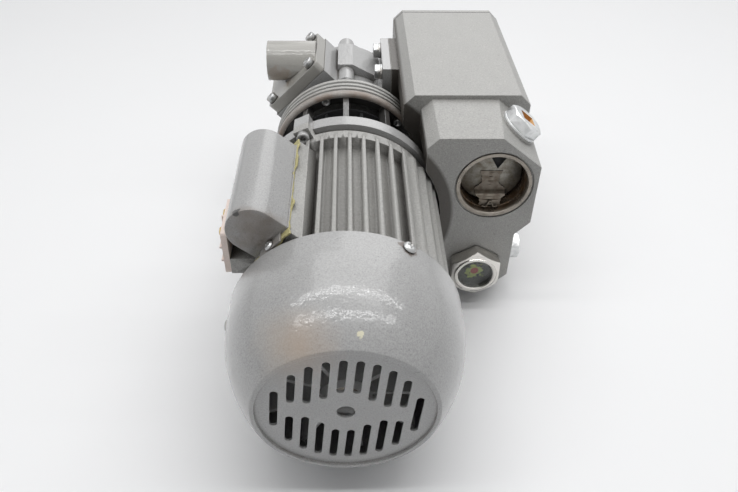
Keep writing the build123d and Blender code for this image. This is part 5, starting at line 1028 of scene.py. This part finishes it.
class PUMP_OT_exhaust_port(bpy.types.Operator):
    """Models the filter's pressed end cap and the leaf spring across it"""

    bl_idname = "pump.exhaust_port"
    bl_label = "Exhaust Port"

    def execute(self, context):
        low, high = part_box("exhaust_filter")
        cap_back = low.y + 6 * MM
        bm = merged_copy("exhaust_filter")
        for face in bm.faces:
            face.material_index = int(face.calc_center_median().y > cap_back)
        wedge = bmesh.new()
        bmesh.ops.create_cone(
            wedge, cap_ends=True, segments=3, radius1=8 * MM, radius2=8 * MM, depth=5 * MM,
            matrix=Matrix.Rotation(math.pi / 2, 4, "X") @ Matrix.Rotation(math.pi, 4, "Z"),
        )
        centre = (low + high) / 2
        place = Vector((centre.x + 5 * MM, low.y, centre.z + 13.5 * MM))
        bmesh.ops.translate(wedge, verts=wedge.verts, vec=place)
        notched = combined(bm, wedge, "DIFFERENCE")
        for face in notched.faces:
            spot = face.calc_center_median()
            inside = spot.y < low.y + 3 * MM and (spot - place).length < 9 * MM
            if inside and (abs(face.normal.y) < 0.5 or spot.y > low.y + MM):
                face.material_index = 2
        set_piece(notched, "filter_with_cap", "cap_steel", "exhaust_filter", 0.0,
                  materials=("filter_fibre", "black_rubber"))
        self.spring()
        return {"FINISHED"}

    def spring(self):
        """Strip with a waist, a forward ledge and a hooked clip at its foot."""
        low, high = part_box("leaf_spring")
        centre = (low + high) / 2
        rest = high.y - 0.8 * MM
        # height, half width and distance ahead of the seat, in millimetres
        stations = (
            (4.0, 9.6, 0.0), (1.0, 8.4, 0.2), (-4.0, 7.0, 0.4), (-8.0, 7.6, 0.5),
            (-11.0, 10.5, 0.6), (-12.5, 13.0, 0.8), (-13.6, 13.0, 2.4), (-14.4, 12.6, 6.4),
            (-15.4, 12.2, 8.2), (-17.5, 9.4, 8.6), (-20.5, 9.0, 8.8), (-24.4, 8.6, 8.9),
        )
        bm = bmesh.new()
        bmesh.ops.create_grid(bm, x_segments=8, y_segments=len(stations) - 1, size=1)
        for vert in bm.verts:
            row = round((1 - vert.co.y) / 2 * (len(stations) - 1))
            height, half, ahead = stations[row]
            vert.co = Vector((
                centre.x + vert.co.x * half * MM, rest - ahead * MM, centre.z + height * MM,
            ))
        bmesh.ops.subdivide_edges(bm, edges=bm.edges[:], cuts=2, smooth=0.6, use_grid_fill=True)
        clip = bmesh.new()
        bmesh.ops.create_grid(clip, x_segments=36, y_segments=3, size=1)
        for vert in clip.verts:
            span = vert.co.x
            hump = 6.4 * math.exp(-((span / 0.42) ** 4)) + 1.8 * span * span
            vert.co = Vector((
                centre.x + span * 6.2 * MM, rest - (9.2 + 1.1 * (1 - vert.co.y)) * MM,
                centre.z + (hump - 25.2) * MM,
            ))
        for sheet in (bm, clip):
            bmesh.ops.recalc_face_normals(sheet, faces=sheet.faces)
            bmesh.ops.solidify(sheet, geom=sheet.faces[:], thickness=0.9 * MM)
            bmesh.ops.recalc_face_normals(sheet, faces=sheet.faces)
        set_piece(joined(bm, clip), "leaf_spring_strip", "spring_steel", "leaf_spring", 0.15 * MM)


class PUMP_OT_feet(bpy.types.Operator):
    """Models the rubber feet"""

    bl_idname = "pump.feet"
    bl_label = "Feet"

    def execute(self, context):
        trimmed("rubber_feet", "ribbed_feet", "black_rubber", (
            (0, -14 * MM), (15 * MM, -14 * MM), (15 * MM, -11 * MM), (13.2 * MM, -9.6 * MM),
            (12.6 * MM, -8 * MM), (13.4 * MM, -6.6 * MM), (12.4 * MM, -5 * MM),
            (12.4 * MM, -1.2 * MM), (11.4 * MM, 0.1 * MM), (0, 0.1 * MM),
        ), (0, 0, -1))
        return {"FINISHED"}


class PUMP_OT_stage(bpy.types.Operator):
    """Lays the floor and sets up the camera, the lamps and the world"""

    bl_idname = "pump.stage"
    bl_label = "Stage"

    def execute(self, context):
        self.floor()
        self.camera()
        stage = stage_sizes()
        strip = stage.strip_power
        for name, place, target, width, depth, power in (
            ("key", (0.1, 0.55, 1.9), (-0.02, -0.06, 0.1), 2.2, 1.6, stage.key_power),
            ("back_panel", (0.8, 2.3, 1.75), (-0.02, -0.1, 0.1), 1.9, 1.5, stage.panel_power),
            ("strip_near", (-0.05, -0.47, 1.3), (-0.05, -0.47, 0), 2.4, 0.05, strip),
            ("strip_far", (0.03, -0.07, 1.3), (0.03, -0.07, 0), 2.6, 0.04, strip),
        ):
            self.lamp(name, place, target, width, depth, power)
        self.world()
        context.scene.view_settings.view_transform = "Standard"
        return {"FINISHED"}

    def floor(self):
        tone = colours().backdrop
        bm = bmesh.new()
        bmesh.ops.create_grid(bm, x_segments=2, y_segments=2, size=stage_sizes().floor_half)
        mesh = bpy.data.meshes.new("floor")
        bm.to_mesh(mesh)
        bm.free()
        floor = bpy.data.objects.new("floor", mesh)
        bpy.context.scene.collection.objects.link(floor)
        s = Shader("pale_floor", tone, roughness=0.6)
        s.base.inputs["Specular IOR Level"].default_value = 0.15
        s.colour(s.blend(s.noise(0.12, 2), shade(tone, 0.992), shade(tone, 1.006)))
        mesh.materials.append(s.material)

    def camera(self):
        stage = stage_sizes()
        yaw, pitch, roll = stage.yaw, stage.pitch, stage.roll
        ahead = Vector((
            math.sin(yaw) * math.cos(pitch), math.cos(yaw) * math.cos(pitch), -math.sin(pitch),
        ))
        level = Vector((math.cos(yaw), -math.sin(yaw), 0))
        above = level.cross(ahead)
        right = math.cos(roll) * level + math.sin(roll) * above
        up = math.cos(roll) * above - math.sin(roll) * level
        data = bpy.data.cameras.new("camera")
        data.lens = stage.lens
        data.sensor_width = 36
        data.clip_start = 0.01
        camera = bpy.data.objects.new("camera", data)
        camera.matrix_world = (
            Matrix.Translation(stage.camera_place)
            @ Matrix((right, up, -ahead)).transposed().to_4x4()
        )
        bpy.context.scene.collection.objects.link(camera)
        bpy.context.scene.camera = camera

    def lamp(self, name, place, target, width, depth, power):
        data = bpy.data.lights.new(name, "AREA")
        data.shape = "RECTANGLE"
        data.size, data.size_y, data.energy = width, depth, power
        lamp = bpy.data.objects.new(name, data)
        aim = (Vector(target) - Vector(place)).to_track_quat("-Z", "Y")
        lamp.matrix_world = Matrix.Translation(place) @ aim.to_matrix().to_4x4()
        bpy.context.scene.collection.objects.link(lamp)

    def world(self):
        stage = stage_sizes()
        world = bpy.data.worlds.new("studio")
        world.use_nodes = True
        tree = world.node_tree
        tree.nodes.clear()
        seen = tree.nodes.new("ShaderNodeBackground")
        seen.inputs["Color"].default_value = (*colours().backdrop, 1)
        lit = tree.nodes.new("ShaderNodeBackground")
        lit.inputs["Color"].default_value = (0.97, 0.985, 1, 1)
        lit.inputs["Strength"].default_value = stage.world_strength
        path = tree.nodes.new("ShaderNodeLightPath")
        mirrored = tree.nodes.new("ShaderNodeMath")
        mirrored.operation = "MAXIMUM"
        tree.links.new(path.outputs["Is Glossy Ray"], mirrored.inputs[0])
        tree.links.new(path.outputs["Is Transmission Ray"], mirrored.inputs[1])
        shown = tree.nodes.new("ShaderNodeMath")
        shown.operation = "MAXIMUM"
        tree.links.new(path.outputs["Is Camera Ray"], shown.inputs[0])
        tree.links.new(mirrored.outputs["Value"], shown.inputs[1])
        mix = tree.nodes.new("ShaderNodeMixShader")
        out = tree.nodes.new("ShaderNodeOutputWorld")
        tree.links.new(shown.outputs["Value"], mix.inputs["Fac"])
        tree.links.new(lit.outputs["Background"], mix.inputs[1])
        tree.links.new(seen.outputs["Background"], mix.inputs[2])
        tree.links.new(mix.outputs["Shader"], out.inputs["Surface"])
        bpy.context.scene.world = world


OPERATORS = (
    PUMP_OT_finishes, PUMP_OT_castings, PUMP_OT_fins, PUMP_OT_capacitor_cover,
    PUMP_OT_screws, PUMP_OT_hex_bolts, PUMP_OT_plugs, PUMP_OT_sight_glass,
    PUMP_OT_exhaust_port, PUMP_OT_feet, PUMP_OT_stage,
)


class PUMP_PT_panel(bpy.types.Panel):
    """Lists the pump's pieces in the sidebar"""

    bl_label = "Vacuum Pump"
    bl_idname = "PUMP_PT_panel"
    bl_space_type = "VIEW_3D"
    bl_region_type = "UI"
    bl_category = "Vacuum Pump"

    def draw(self, context):
        for settings in ("pump_sizes", "pump_colours", "pump_stage"):
            group = getattr(context.scene, settings)
            for name in group.__annotations__:
                self.layout.prop(group, name)
        for operator in OPERATORS:
            self.layout.operator(operator.bl_idname)


SETTINGS = {"pump_sizes": PumpSizes, "pump_colours": PumpColours, "pump_stage": StageSizes}


def register():
    for group in SETTINGS.values():
        bpy.utils.register_class(group)
    for name, group in SETTINGS.items():
        setattr(bpy.types.Scene, name, PointerProperty(type=group))
    for operator in OPERATORS:
        bpy.utils.register_class(operator)
    bpy.utils.register_class(PUMP_PT_panel)


def unregister():
    bpy.utils.unregister_class(PUMP_PT_panel)
    for operator in reversed(OPERATORS):
        bpy.utils.unregister_class(operator)
    for name in SETTINGS:
        delattr(bpy.types.Scene, name)
    for group in reversed(SETTINGS.values()):
        bpy.utils.unregister_class(group)


def main():
    register()
    for operator in OPERATORS:
        family, name = operator.bl_idname.split(".")
        getattr(getattr(bpy.ops, family), name)()


if __name__ == "__main__":
    main()
